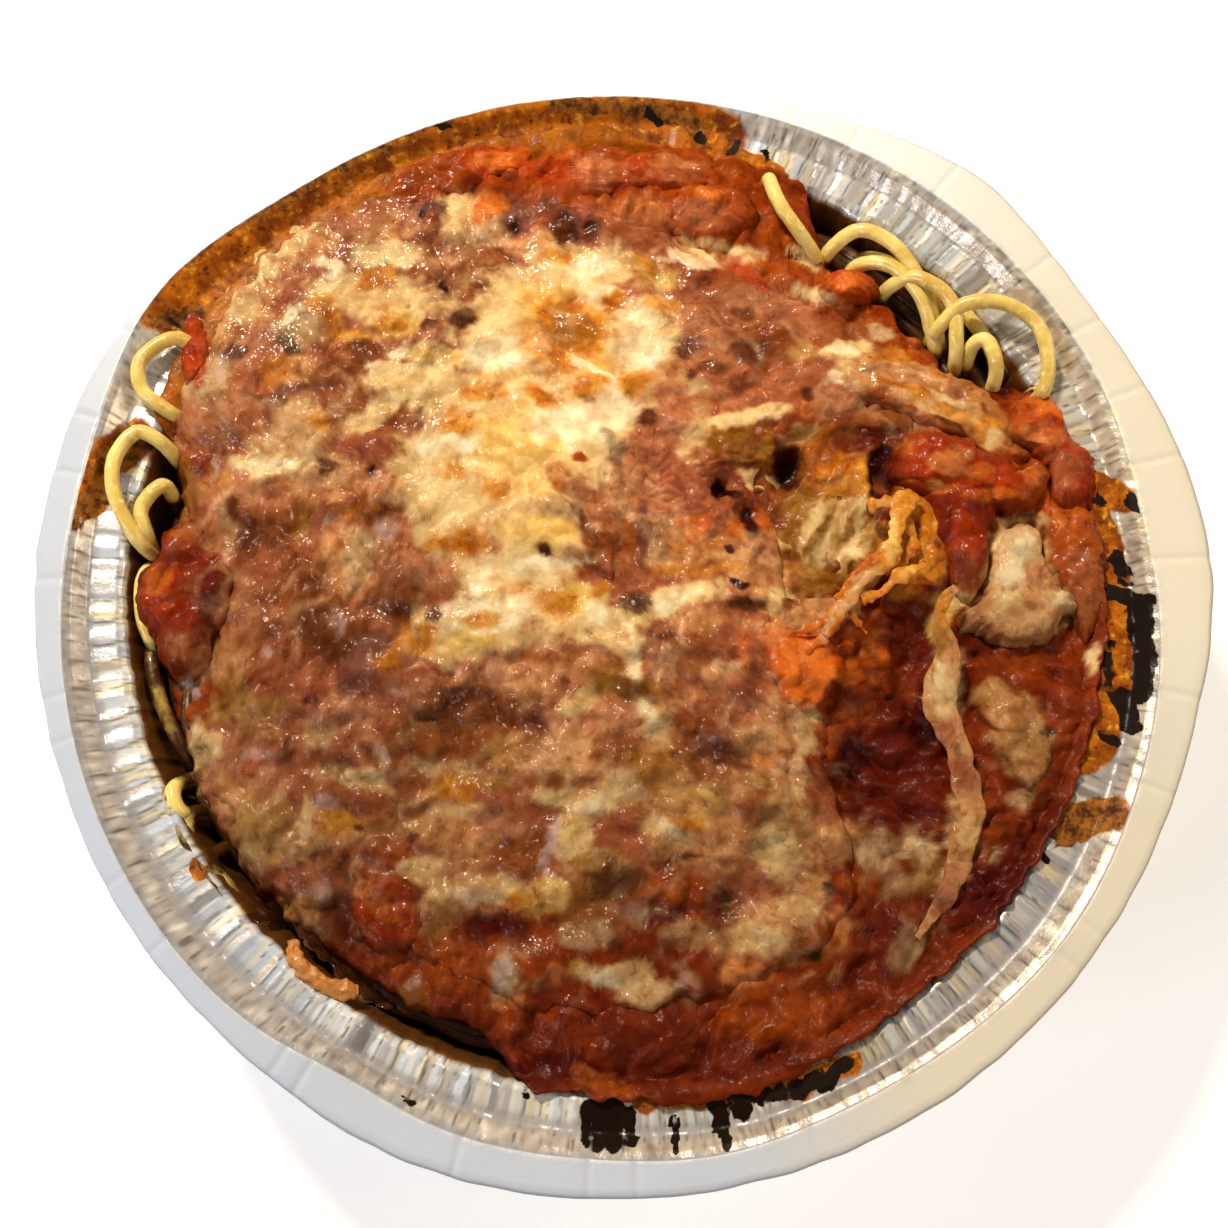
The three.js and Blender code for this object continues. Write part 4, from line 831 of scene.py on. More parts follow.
# The loose cheese at the right, painted the same way, with a painted highlight in white on the flap's upper
# middle
LOOSE_PAINT = [
    ("tan", 0.3, [(614, 620, 640, 640, 0)]),
    ("brown", 0.5, [
        (905, 420, 90, 14, 14), (960, 384, 14, 20, 30, 0.6), (880, 366, 16, 14, 0, 0.5),
        (1000, 430, 20, 26, 0, 0.7), (930, 398, 60, 5, 16, 0.8),
    ]),
    ("amber", 0.6, [(900, 390, 40, 5, 14, 0.8), (985, 414, 22, 7, 40, 0.8), (950, 372, 20, 6, 20, 0.6),
        (1000, 400, 12, 10, 0, 0.8)]),
    ("gold", 0.6, [(942, 410, 40, 8, 24, 0.7), (990, 436, 18, 16, 40, 0.7), (890, 378, 24, 4, 8, 0.6)]),
    ("brick", 0.6, [(878, 396, 18, 6, 14, 0.7), (1008, 412, 10, 8, 0, 0.6), (916, 384, 26, 3, 16, 0.6),
        (970, 388, 16, 4, 30, 0.6)]),
    ("pale", 0.6, [(942, 684, 20, 34, 0, 0.8), (1016, 560, 30, 40, 0, 0.6), (1022, 616, 44, 18, 0, 0.7),
        (1060, 600, 26, 14, 0, 0.6)]),
    ("pink", 0.6, [
        (950, 736, 18, 18, 0), (962, 778, 18, 24, 0), (950, 888, 18, 24, 0), (1036, 742, 24, 20, 0, 0.8),
        (1034, 576, 12, 10, 0, 0.8), (905, 372, 30, 12, 0, 0.6), (975, 606, 10, 10, 0, 0.5),
    ]),
    ("rose", 0.5, [(963, 772, 8, 20, 0, 0.7), (944, 906, 18, 14, 0, 0.7), (930, 418, 30, 5, 10, 0.7),
        (946, 732, 8, 10, 0, 0.6)]),
    ("green_tan", 0.5, [(1030, 740, 26, 22, 0, 0.8), (1010, 690, 18, 9, 0, 0.6), (938, 660, 9, 18, 0, 0.6)]),
    ("cream", 0.6, [
        (1014, 560, 13, 30, 12, 0.8), (1000, 600, 22, 12, -10, 0.6), (1022, 630, 32, 7, 4, 0.8),
        (1062, 599, 16, 6, 30, 0.8), (944, 690, 11, 24, 0, 0.8), (970, 832, 12, 18, 0, 0.7),
        (952, 400, 30, 4, 24, 0.7), (996, 438, 8, 12, 30, 0.8), (1030, 530, 8, 8, 0, 0.8),
        (920, 374, 26, 4, 10, 0.5), (934, 412, 20, 3, 24, 0.6),
    ]),
    ("tan", 0.5, [(1010, 630, 44, 9, 2, 0.8), (1060, 610, 14, 8, 0, 0.8), (1034, 592, 12, 8, 0, 0.8),
        (1010, 612, 10, 7, 0, 0.6), (1056, 616, 10, 10, 0, 0.7), (988, 590, 8, 20, 20, 0.7)]),
    ("rose", 0.5, [(1046, 572, 6, 18, 20, 0.6), (990, 628, 18, 6, 0, 0.5), (1028, 604, 7, 5, 0, 0.5)]),
    ("brown", 0.5, [(1050, 630, 10, 6, -30, 0.7), (974, 620, 14, 7, 0, 0.6), (1060, 584, 6, 14, -40, 0.5),
        (1004, 640, 26, 4, 0, 0.6)]),
    ("white", 0.6, [(1014, 562, 10, 26, 14, 0.8), (1028, 542, 8, 16, 0, 0.7), (1064, 598, 9, 4, 0, 0.5),
        (942, 676, 6, 13, 0, 0.6), (950, 600, 6, 10, 0, 0.6)]),
    ("olive", 0.6, [(950, 606, 10, 24, 0, 0.8), (940, 640, 10, 14, 0, 0.7)]),
    ("gold", 0.6, [(944, 610, 7, 22, 0), (1076, 622, 8, 20, 0, 0.8), (976, 402, 12, 4, 30, 0.7)]),
    ("dark", 0.5, [(950, 424, 14, 3, 34, 0.8), (958, 754, 5, 8, 0, 0.5), (1020, 762, 18, 4, 0, 0.5),
        (982, 410, 4, 5, 0, 0.7)]),
    ("herb", 0.4, [(1050, 730, 12, 3, -24, 0.9), (1026, 515, 7, 4, 0, 0.7)]),
]
# Where melted cheese covers the sauce, and where the sauce comes through it
CHEESE = [
    (330, 320, 130, 110, -30, 1), (560, 320, 200, 105, 0, 1), (740, 350, 150, 80, 12, 1),
    (330, 560, 160, 150, 0, 1), (560, 560, 220, 190, 0, 1), (480, 790, 290, 130, 8, 1),
    (700, 700, 120, 120, 0, 1), (330, 840, 120, 70, 30, 1), (520, 870, 120, 60, 0, 1),
    (780, 870, 60, 90, 0, 1), (790, 950, 75, 40, -10, 1), (650, 985, 70, 28, 0, 0.9),
    (520, 970, 46, 52, 0, 0.75), (900, 860, 52, 34, 0, 0.85), (915, 945, 34, 34, 0, 0.7),
    (900, 400, 100, 34, 16, 0.9), (1015, 735, 40, 55, 0, 0.75), (1020, 800, 14, 12, 0, 0.8),
    (250, 860, 30, 30, 0, 0.8),
]
# Where the cheese has run smooth
MELTED = [
    (560, 290, 90, 40, 0, 1), (560, 420, 100, 110, 0, 1), (500, 590, 90, 40, 0, 1), (430, 470, 60, 60, 0, 1),
    (300, 430, 50, 30, 0, 0.8), (390, 290, 50, 30, 0, 0.7), (660, 600, 60, 30, -16, 0.8),
    (780, 530, 24, 60, 0, 0.8),
]
# Where the surface is grainy and sparkles, and where it is wet and smooth
SPARKLE = [
    (330, 262, 70, 34, -20, 1), (430, 225, 60, 40, 0, 1), (280, 320, 50, 26, -30, 1),
    (440, 350, 60, 16, 0, 0.9), (230, 435, 30, 12, 0, 0.8), (270, 465, 40, 9, 0, 0.9),
    (420, 412, 50, 14, -20, 0.9), (560, 262, 60, 20, 0, 0.8), (680, 330, 44, 40, 0, 0.9),
    (668, 275, 26, 20, 0, 0.9), (770, 300, 40, 16, 0, 0.8), (855, 374, 30, 12, 0, 0.9),
    (390, 612, 50, 10, 0, 0.9), (430, 690, 60, 14, 0, 0.3), (575, 322, 24, 12, 0, 0.5),
    (640, 345, 20, 8, 0, 0.5), (400, 700, 40, 14, 0, 0.3), (260, 625, 30, 14, 0, 0.5),
    (540, 400, 30, 9, 0, 0.5), (495, 225, 20, 14, 0, 0.6),
]
# Lumps and hollows: pixel, radius in pixels and height in millimetres
LUMPS = [
    (578, 325, 34, -0.8), (490, 708, 50, -1.8), (614, 688, 26, -1.1), (720, 490, 16, -3.5),
    (746, 518, 17, -3.6), (788, 467, 18, -2.4), (690, 650, 42, 1.8), (740, 702, 14, 0.5),
    (718, 736, 20, 0.9), (655, 722, 20, 1.0), (352, 666, 34, -0.8), (250, 530, 30, -0.8),
    (600, 612, 18, 0.5), (634, 655, 16, 0.5), (750, 585, 30, 0.9), (772, 500, 20, 1.0), (782, 550, 22, 1.0),
    (560, 512, 22, 0.7), (530, 892, 34, 1.0), (522, 972, 42, 1.8), (785, 840, 34, 1.4), (842, 838, 22, 1.2),
    (790, 940, 52, 1.8), (655, 985, 36, 1.0), (905, 850, 28, 1.1), (905, 945, 24, 1.0), (386, 912, 30, 1.0),
    (752, 352, 22, -0.6), (450, 384, 40, -0.4), (440, 425, 26, -0.5), (320, 790, 34, 0.9),
    (200, 745, 22, 1.0), (300, 905, 34, 1.2), (430, 890, 34, 1.0), (210, 410, 36, 0.9), (728, 902, 24, -1.8),
    (1040, 425, 32, 1.6), (1075, 520, 34, 0.8), (632, 212, 40, 1.2), (700, 212, 34, 1.2),
    (545, 216, 34, 0.8), (660, 1040, 40, 0.8), (560, 1050, 36, 0.8), (780, 1000, 40, 0.9),
    (440, 985, 36, 0.9), (1020, 798, 16, 0.8), (1020, 735, 34, 0.9), (600, 930, 30, 0.7),
    (880, 375, 34, 1.2), (845, 352, 22, 0.7), (284, 240, 22, 0.9), (312, 222, 14, 0.9), (250, 290, 26, 0.9),
    (225, 335, 20, 0.8), (300, 432, 34, 0.7), (520, 440, 60, 0.6), (640, 335, 30, 0.6), (500, 345, 30, 0.5),
    (595, 300, 22, 0.5), (400, 740, 34, 0.9), (350, 712, 30, 0.5), (420, 690, 26, 0.9), (260, 620, 36, 0.9),
    (400, 585, 26, 0.6), (340, 560, 24, 0.5), (240, 790, 36, 1.0), (600, 800, 30, 0.9), (560, 840, 22, 0.8),
    (470, 880, 26, 0.9), (690, 800, 34, 0.7), (764, 822, 20, -1.2), (620, 880, 30, -1.4),
    (340, 920, 26, -1.0), (490, 932, 26, -1.4), (770, 735, 30, 1.2), (875, 850, 15, 0.9),
    (595, 170, 34, 0.9), (674, 172, 36, 0.9), (760, 235, 30, 0.6), (480, 232, 26, 0.6),
]


# Limits of the painted colours, and the gloss that comes on top of them, all linear
DARKEST, BRIGHTEST = 0.0012, 0.95
GLOSS = np.array((0.003, 0.005, 0.007))


def lit(tone):
    """A tone as a colour of the scene, without the share of it that is gloss."""
    seen = np.array(linear(TONES[tone])[:3])
    return np.maximum((0.78 + 0.42 * seen.mean()) * seen - GLOSS, DARKEST)


def ragged_blots(at, table, soft, grain):
    """Soft ellipses whose edges are torn by a grain from about -1 to 1."""
    total = np.zeros(len(at))
    for x, y, rx, ry, turn, *faint in table:
        reach = max(rx, ry) * (1.1 + soft)
        near = np.flatnonzero((abs(at[:, 0] - x) < reach) & (abs(at[:, 1] - y) < reach))
        c, s = cos(radians(turn)), sin(radians(turn))
        dx, dy = at[near, 0] - x, at[near, 1] - y
        raw = 1 - smooth(1 - soft, 1 + soft, np.hypot((dx * c + dy * s) / rx, (dy * c - dx * s) / ry))
        share = smooth(0.2, 0.86, raw + 0.42 * grain[near] * smooth(0, 0.3, raw))
        total[near] = np.maximum(total[near], (faint[0] if faint else 1.0) * share)
    return total


def puffs(points):
    """Rounded lumps, large, middle and small, from nought in their creases up to about one."""
    at = points + 1.2 * np.stack([noise(points, 6, 60), noise(points, 6, 64), 0 * points[:, 0]], axis=-1)
    return [np.abs(noise(at, size, seed)) for size, seed in ((9.0, 61), (4.6, 62), (2.2, 63))]


def stirred(points, calm=0.0):
    """Pixel coordinates pushed about, so that what is placed by them gets uneven edges."""
    at = pixels(points)
    for amount, size, seed in ((7.0, 8.0, 9), (6.0, 3.8, 3), (3.0, 1.9, 5), (1.2, 1.0, 7)):
        push = amount * (1 - 0.5 * calm)
        at = at + push * np.stack([noise(points, size, seed), noise(points, size, seed + 90)], axis=-1)
    return at


BUBBLES = 130


def bubbles(at):
    """Painted highlights on the rims' upper left sides, and dark insides, of the melted cheese's round
    bubbles low in the photograph.
    """
    draw = np.random.default_rng(88)
    table = zip(draw.uniform(225, 880, BUBBLES), draw.uniform(680, 1010, BUBBLES),
        draw.uniform(6, 15, BUBBLES), draw.uniform(0.3, 1, BUBBLES))
    rim, inside = np.zeros(len(at)), np.zeros(len(at))
    for x, y, radius, strength in table:
        near = np.flatnonzero((abs(at[:, 0] - x) < 1.5 * radius) & (abs(at[:, 1] - y) < 1.5 * radius))
        dx, dy = (at[near, 0] - x) / radius, (at[near, 1] - y) / radius
        away = np.hypot(dx, dy)
        lit_side = smooth(-0.4, 0.9, -(dx + dy) / 1.4)
        rim[near] = np.maximum(rim[near], strength * lit_side * np.exp(-(((away - 0.75) / 0.32) ** 2)))
        inside[near] = np.maximum(inside[near], strength * smooth(0.9, 0.3, np.hypot(dx - 0.2, dy - 0.25)))
    return rim, inside


def paint(points, layers=PAINT, calm=0.0):
    """The colour that the photograph shows at each point of the food, in linear red, green and blue.

    Calm, from 0 to 1, leaves out more and more of the fine mottling.
    """
    at = stirred(points, calm)
    fields = [noise(points, size, 300 + number) for number, size in enumerate((4.0, 3.4, 1.9, 1.7, 0.95,
        0.85))]
    colour = np.zeros((len(points), 3))
    for number, (tone, soft, table) in enumerate(layers):
        signs = (1, -1, 1, 1, -1, -1, 1, -1)[number % 8], (1, 1, -1)[number % 3]
        grain = (
            0.6 * signs[0] * fields[number % 2] + 0.5 * signs[1] * fields[2 + number % 2]
            + 0.25 * fields[4 + number % 2]
        )
        share = ragged_blots(at, table, 1.2 * soft, grain) * (0.95 + 0.15 * fields[number % 2])
        if tone in ("cream", "white", "yellow"):
            share = share * (1 - 0.3 * smooth(640, 760, at[:, 1]))
        colour = blend(colour, lit(tone), np.clip(share, 0, 1)[:, None])
    rim, inside = bubbles(at)
    melt = (1 - calm) * (0.3 + 0.7 * cheesy(points))
    colour = colour * (1 - 0.4 * (melt * inside)[:, None] * np.array((0.35, 0.6, 0.8)))
    # Painted highlights on the bubbles' rims, in the colour of grey cream
    colour = blend(colour, np.maximum(colour, lit("grey_cream")), (0.7 * melt * rim)[:, None])
    plain = (1 - calm) * (1 - 0.65 * smooth(0.3, 0.6, colour.mean(axis=1)))
    large, middle, small = puffs(points)
    # Painted shade in the creases between the rounded lumps, the same lumps that shape the surfaces
    crease = (
        0.55 * smooth(0.16, 0.0, large) + 0.4 * smooth(0.14, 0.0, middle)
        + 0.2 * smooth(0.12, 0.0, small)
    )
    colour = colour * (1 - (plain * np.clip(crease, 0, 0.8))[:, None] * np.array((0.38, 0.58, 0.7)))
    browned = smooth(0.3, 0.75, noise(points, 2.0, 340)) * smooth(-0.1, 0.5, noise(points, 7, 341))
    colour = colour * (1 - 0.5 * (plain * browned)[:, None] * np.array((0.35, 0.55, 0.7)))
    melted = (
        smooth(0.25, 0.7, 0.8 * noise(points, 3.4, 342) + 0.3 * noise(points, 1.6, 344))
        * smooth(-0.2, 0.5, noise(points, 8, 343))
    )
    colour = blend(colour, np.minimum(colour * 1.8 + 0.02, 0.9), (0.45 * plain * melted)[:, None])
    bright = smooth(0.25, 0.6, colour.mean(axis=1))
    near = abs(noise(points, 7, 350)) + 0.25 * abs(noise(points, 2.6, 351))
    veins = smooth(0.3, 0.06, near) * smooth(-0.1, 0.35, noise(points, 11, 352)) * cheesy(points)
    colour = blend(colour, np.maximum(colour, lit("pale")), (0.36 * (1 - calm) * veins)[:, None])
    colour = colour * (1 - 0.16 * bright)[:, None]
    grain = (1 - 0.5 * calm) * (1 - 0.5 * bright) * (0.6 * noise(points, 5, 330) + 0.35 * fields[1]
        + 0.12 * fields[3])
    # Painted shade: the food darker toward the bottom and toward the left
    x, y = pixels(points).T
    lower_left_shade = (1.04 - 0.4 * smooth(420, 900, y)) * (1 - 0.16 * smooth(560, 380, x))
    return np.clip(colour * (lower_left_shade * (1 + 0.26 * grain))[:, None], DARKEST, BRIGHTEST)


def cheesy(points):
    """How much the food is melted cheese at each point, from 0 to 1."""
    return blots(wander(pixels(points), points, 6.0, 5.0, 3), CHEESE, 0.25)


def food_marks(points, layers=PAINT, calm=0.0):
    at = wander(pixels(points), points, 6.0, 5.0, 3)
    return {"sparkle": blots(at, SPARKLE, 0.6), "tone": paint(points, layers, calm)}


def placed_lumps(points):
    at = pixels(points)
    total = np.zeros(len(points))
    for x, y, radius, height in LUMPS:
        total += height * np.exp(-(((at[:, 0] - x) ** 2 + (at[:, 1] - y) ** 2) / (0.6 * radius * radius)))
    return total


# Surfaces of the food
def sauce_outline(angle):
    over = 3.2 * span(angle, 88, 160, 5)
    gap = 6.4 * span(angle, 162, 258, 5)
    corner = 11 * span(angle, 29, 62, 5)
    return 76 + over - gap - corner + 1.4 * span(angle, 272, 300, 8)


def sauce_height(x, y):
    return 39 + hills(x, y, SAUCE_HILLS) + 1.2 * span(angle_of(x, y), 85, 160, 10)


def sauce_relief(points):
    large, middle, small = puffs(points)
    lumps = 2.6 * large + 2.0 * middle + 0.8 * small - 1.6
    return lumps + 0.8 * noise(points, 16, 13) + 0.08 * noise(points, 1.1, 14)


def cheese_relief(points):
    large, middle, small = puffs(points)
    melted = blots(pixels(points), MELTED, 0.6)
    lumps = (
        2.0 * large + (1.5 * middle + 0.6 * small) * (1 - 0.6 * melted) - 1.0
        + 0.5 * bubbles(stirred(points))[1]
    )
    return 0.8 * noise(points, 15, 21) + lumps + 0.05 * noise(points, 1.1, 25)


def slice_cover(points):
    """How high the food has to be to bury the two lower slices, but for their outer rims."""
    cover = np.full(len(points), -99.0)
    for name, centre, radius, tilt in SLICES[:2]:
        away = points - np.array(centre)
        plane = centre[2] + 3.0 + away[:, 1] * sin(radians(tilt[0])) - away[:, 0] * sin(radians(tilt[1]))
        inside = smooth(0.97, 0.88, np.hypot(away[:, 0], away[:, 1]) / radius)
        cover = np.maximum(cover, np.where(inside > 0, plane - 2.5 * (1 - inside), -99.0))
    return cover


# How many lines a net has from its middle to its edge
SAUCE_NET = 145
CHEESE_NET = 150
MORSEL_NET = 38


def net(half):
    """A square net pressed into a disc: the points' shares of the way out, their angles and the rim."""
    line = np.arange(-half, half + 1) / half
    u, v = np.meshgrid(line, line)
    wide = abs(u) >= abs(v)
    lead = np.where(wide, u, v)
    safe = np.where(lead == 0, 1.0, lead)
    turn = np.where(wide, np.pi / 4 * v / safe, np.pi / 2 - np.pi / 4 * u / safe) + np.pi * (lead < 0)
    share, turn = abs(lead).ravel(), (turn % (2 * np.pi)).ravel()
    rim = np.flatnonzero(share > 1 - 0.5 / half)
    return share, turn, rim[np.argsort(turn[rim])]


def blanket(centre, outline, half, heights, skirt):
    """A closed body under a top surface.

    Outline gives the edge at angles, heights the top from flat points and their share of the way out, and
    skirt
    the rings under the edge.
    """
    share, turn, rim = net(half)
    flat = np.zeros((len(share), 3))
    flat[:, :2] = np.array(centre[:2]) + share[:, None] * (outline(turn) - np.array(centre[:2]))
    top = heights(flat, share)
    under = skirt(top[rim])
    last = np.array([[centre[0], centre[1], under[-1][:, 2].mean()]])
    side = 2 * half + 1
    row, column = np.meshgrid(np.arange(side - 1), np.arange(side - 1), indexing="ij")
    corner = (row * side + column).ravel()
    faces = np.stack([corner, corner + 1, corner + side + 1, corner + side], axis=-1).tolist()
    upper, spokes = rim, len(rim)
    for number in range(len(under)):
        lower = side * side + number * spokes + np.arange(spokes)
        faces += np.stack([upper, lower, np.roll(lower, -1), np.roll(upper, -1)], axis=-1).tolist()
        upper = lower
    faces += [[side * side + len(under) * spokes, b, a]
        for a, b in zip(upper.tolist(), np.roll(upper, -1).tolist())]
    return np.vstack([top, *under, last]), faces


GROUND = np.full((200, 200), 20.0)


def lay(points):
    """Remember the heights of a top surface in squares of 1 mm."""
    at = np.clip(np.round(points[:, :2] + 100).astype(int), 0, 199)
    np.maximum.at(GROUND, (at[:, 0], at[:, 1]), points[:, 2])


def ground(flat):
    """Height of the food that is already there, under points."""
    x, y = np.clip(flat[:, 0] + 100, 0, 198.9), np.clip(flat[:, 1] + 100, 0, 198.9)
    i, j = x.astype(int), y.astype(int)
    a, b = x - i, y - j
    low = GROUND[i, j] * (1 - a) + GROUND[i + 1, j] * a
    return low * (1 - b) + (GROUND[i, j + 1] * (1 - a) + GROUND[i + 1, j + 1] * a) * b


def make_sauce(finish):
    def outline(turn):
        angle = np.degrees(turn)
        on_rim = np.stack([76 * np.cos(turn), 76 * np.sin(turn), 0 * turn], axis=-1)
        radius = (
            sauce_outline(angle) + 1.0 * noise(on_rim, 7, 41) + 0.8 * noise(on_rim, 3, 42)
            + 0.3 * noise(on_rim, 1.4, 43)
        )
        return np.stack([radius * np.cos(turn), radius * np.sin(turn)], axis=-1)

    def heights(flat, share):
        z = sauce_height(flat[:, 0], flat[:, 1])
        guess = np.column_stack([flat[:, :2], z])
        rounding = 1 - np.sqrt(np.clip(1 - (np.clip((share - 0.95) / 0.05, 0, 1)) ** 2, 0, 1))
        relief = sauce_relief(guess) * (1 - 0.4 * smooth(0.97, 1, share)) + placed_lumps(guess)
        relief = relief * (1 - 0.4 * cheesy(guess))
        z = np.maximum(z + relief, slice_cover(flat)) - (1.8 + 0.8 * noise(guess, 4, 44)) * rounding
        ledge = smooth(74.5, 76.5, np.hypot(flat[:, 0], flat[:, 1]))
        return np.column_stack([flat[:, :2], np.where(ledge > 0, np.maximum(z, 40.2 + ledge), z)])

    def skirt(edge):
        out = np.hypot(edge[:, 0], edge[:, 1])
        rings = []
        for most, drop, low in ((90, 0.7, 40.35), (74.6, 1.4, 39.5), (73.8, 5, 36), (72.6, 9, 32),
            (71.4, 12, 28)):
            r = np.minimum(out - 0.12 * drop, most)
            z = np.minimum(edge[:, 2] - drop * 0.4, np.maximum(edge[:, 2] - drop,
                low)) if most > 80 else np.full_like(out, low)
            z = np.minimum(z, edge[:, 2] - 0.3 * drop)
            rings.append(np.column_stack([edge[:, 0] / out * r, edge[:, 1] / out * r, z]))
        return rings

    points, faces = blanket((0.0, 0.0), outline, SAUCE_NET, heights, skirt)
    lay(points)
    marks = food_marks(points)
    x, y = points[:, 0], points[:, 1]
    baked = span(angle_of(x, y), 86, 162, 5) * smooth(73.5, 75.5, np.hypot(x, y) + 0.8 * noise(points, 4, 45))
    glaze = blend(lit("amber"), lit("dark"), (0.35 + 0.4 * noise(points, 3, 46))[:, None])
    marks["tone"] = blend(marks["tone"], glaze, 0.9 * baked[:, None])
    marks["sparkle"] = marks["sparkle"] * (1 - baked)
    return add_piece("sauce_surface", points, faces, "sauce", ["sauce"], marks, finish)


def make_cheese(finish):
    corners = curve_points(CHEESE_CORNERS, 40, closed=True)

    def outline(turn):
        place = turn / (2 * np.pi) * len(corners)
        index = place.astype(int) % len(corners)
        part = (place - place.astype(int))[:, None]
        edge = corners[index] * (1 - part) + corners[(index + 1) % len(corners)] * part
        at = np.column_stack([edge, 0 * edge[:, 0]])
        away = edge - np.array(CHEESE_CENTRE)
        away /= np.linalg.norm(away, axis=1)[:, None]
        torn = 1.5 * noise(at, 7, 51) + 1.0 * noise(at, 3, 52) + 0.5 * noise(at, 1.4, 53) + 0.6
        clean = smooth(22, 13, np.hypot(edge[:, 0] - 27, edge[:, 1] - 8))
        return edge + away * (torn * (1 - 0.75 * clean))[:, None]

    def heights(flat, share):
        z = sauce_height(flat[:, 0], flat[:, 1])
        guess = np.column_stack([flat[:, :2], z])
        thin = 1 - share**10
        relief = cheese_relief(guess) * (0.3 + 0.7 * thin) + placed_lumps(guess)
        lift = 0.7 + 2.4 * (1 - share**8) - 3.8 * smooth(0.96, 1.0, share)
        z = z + lift + relief + hills(flat[:, 0], flat[:, 1], CHEESE_LUMPS) * thin - 0.5
        return np.column_stack([flat[:, :2], z])

    def skirt(edge):
        inner = np.array([*CHEESE_CENTRE, 0.0])
        return [np.column_stack([blend(edge, inner, 0.01 * (k + 1))[:, :2], edge[:, 2] - 0.8 * (k + 1)])
            for k in range(2)]

    points, faces = blanket(CHEESE_CENTRE, outline, CHEESE_NET, heights, skirt)
    lay(points)
    return add_piece("cheese_sheet", points, faces, "cheese", ["cheese"], food_marks(points), finish)


# Tomato pieces and loose cheese, each under the outline that the photograph shows
MORSELS = [
    ("tomato_left", 39.8, 4.4, [
        (163, 530), (180, 521), (202, 528), (206, 546), (222, 560), (231, 588), (225, 618), (209, 632),
        (208, 656), (194, 673), (170, 672), (158, 650), (148, 630), (136, 606), (138, 575), (158, 556),
        (160, 540),
    ]),
    ("tomato_upper_left", 40.4, 2.6, [(190, 316), (203, 324), (208, 350), (201, 378), (189, 386), (182, 362),
        (181, 338)]),
    ("tomato_top_left", 41.6, 1.5, [
        (384, 190), (404, 168), (436, 154), (480, 147), (520, 145), (531, 156), (520, 170), (472, 182),
        (430, 198), (400, 205),
    ]),
    ("tomato_top", 41.8, 2.2, [
        (564, 160), (588, 148), (622, 150), (634, 156), (660, 149), (700, 152), (713, 166), (706, 184),
        (664, 190), (632, 190), (600, 199), (572, 191),
    ]),
    ("tomato_top_right", 42.2, 1.6, [
        (662, 206), (684, 192), (716, 186), (748, 194), (758, 208), (742, 226), (704, 238), (672, 230),
    ]),
    ("tomato_by_noodles", 42.2, 1.8, [(824, 282), (836, 269), (862, 271), (877, 281), (872, 293), (850, 297),
        (832, 293)]),
    ("tomato_big_right", 43.4, 2.2, [
        (893, 470), (896, 454), (906, 436), (922, 430), (968, 433), (976, 447), (1000, 454), (1018, 458),
        (1026, 468), (1036, 471), (1046, 461), (1054, 471), (1042, 490), (1034, 505), (1012, 508),
        (1002, 506), (992, 520), (990, 545), (990, 568), (978, 590), (960, 584), (948, 560), (940, 530),
        (934, 506), (922, 490), (905, 480),
    ]),
    ("tomato_right_edge", 41.4, 2.4, [
        (1012, 410), (1034, 396), (1060, 408), (1070, 436), (1090, 452), (1097, 480), (1092, 506),
        (1074, 512), (1056, 498), (1050, 470), (1034, 448), (1014, 436),
    ]),
    ("tomato_centre_right", 42.6, 2.2, [
        (757, 640), (772, 628), (800, 634), (828, 636), (842, 655), (838, 685), (826, 704), (804, 711),
        (784, 700), (768, 676),
    ]),
    ("tomato_lower_left", 41.2, 2.0, [
        (355, 905), (366, 886), (390, 879), (412, 888), (421, 910), (414, 935), (398, 952), (374, 946),
        (360, 928),
    ]),
]
CHEESE_MORSELS = [
    ("cheese_flap", 42.0, 0.4, [
        (1021, 519), (1034, 522), (1042, 534), (1044, 552), (1047, 568), (1057, 580), (1068, 590),
        (1080, 598), (1079, 608), (1064, 608), (1058, 620), (1052, 632), (1038, 638), (1018, 641),
        (998, 636), (980, 628), (962, 628), (964, 612), (981, 600), (990, 584), (995, 564), (999, 546),
        (1009, 530),
    ]),
    ("cheese_fold", 41.6, 0.4, [
        (836, 366), (868, 356), (902, 358), (936, 365), (966, 376), (992, 394), (1012, 414), (1016, 440),
        (1004, 456), (984, 450), (964, 434), (938, 424), (908, 412), (878, 400), (850, 390),
    ]),
    ("cheese_patch", 40.2, 0.5, [
        (984, 702), (1000, 688), (1022, 694), (1038, 712), (1052, 735), (1050, 764), (1036, 784),
        (1020, 780), (1010, 756), (1000, 732), (986, 718),
    ]),
]
STRAND_LINE = [
    (957, 587, 47), (942, 606, 46), (941, 628, 45), (947, 650, 44), (944, 680, 43), (939, 704, 42),
    (949, 730, 41.6), (959, 756, 41), (970, 806, 40.6), (962, 846, 40.4), (957, 872, 40.2), (938, 906, 39.8),
    (914, 940, 39.2),
]
STRAND_WIDTHS = [0.6, 0.9, 1.2, 1.8, 2.7, 2.6, 2.2, 2.0, 2.1, 2.0, 1.8, 1.2, 0.3]
# Torn breading: each shred as photo pixels with heights, and its half width
SHREDS = [
    ([
        (914, 494, 44), (902, 506, 45.4), (896, 528, 46), (893, 546, 46.4), (880, 564, 46.4), (860, 586, 46),
        (844, 606, 45.4), (828, 628, 44.6), (820, 648, 43.4),
    ], 1.5),
    ([(868, 507, 44), (884, 502, 45), (904, 503, 45)], 0.9),
    ([(862, 600, 45.4), (880, 592, 46), (896, 580, 46.4), (912, 571, 46), (924, 562, 45.4)], 1.0),
    ([(890, 550, 45.4), (872, 562, 46), (852, 582, 46), (838, 600, 45)], 1.1),
    ([(846, 604, 45), (854, 618, 44.4), (866, 634, 43)], 0.7),
    ([(834, 616, 45), (812, 627, 44.6), (792, 634, 44)], 0.8),
    ([(903, 520, 44.6), (914, 536, 44), (908, 556, 44), (896, 574, 44.4)], 0.9),
    ([(824, 636, 44.6), (812, 648, 44), (806, 660, 43.4)], 0.6),
]
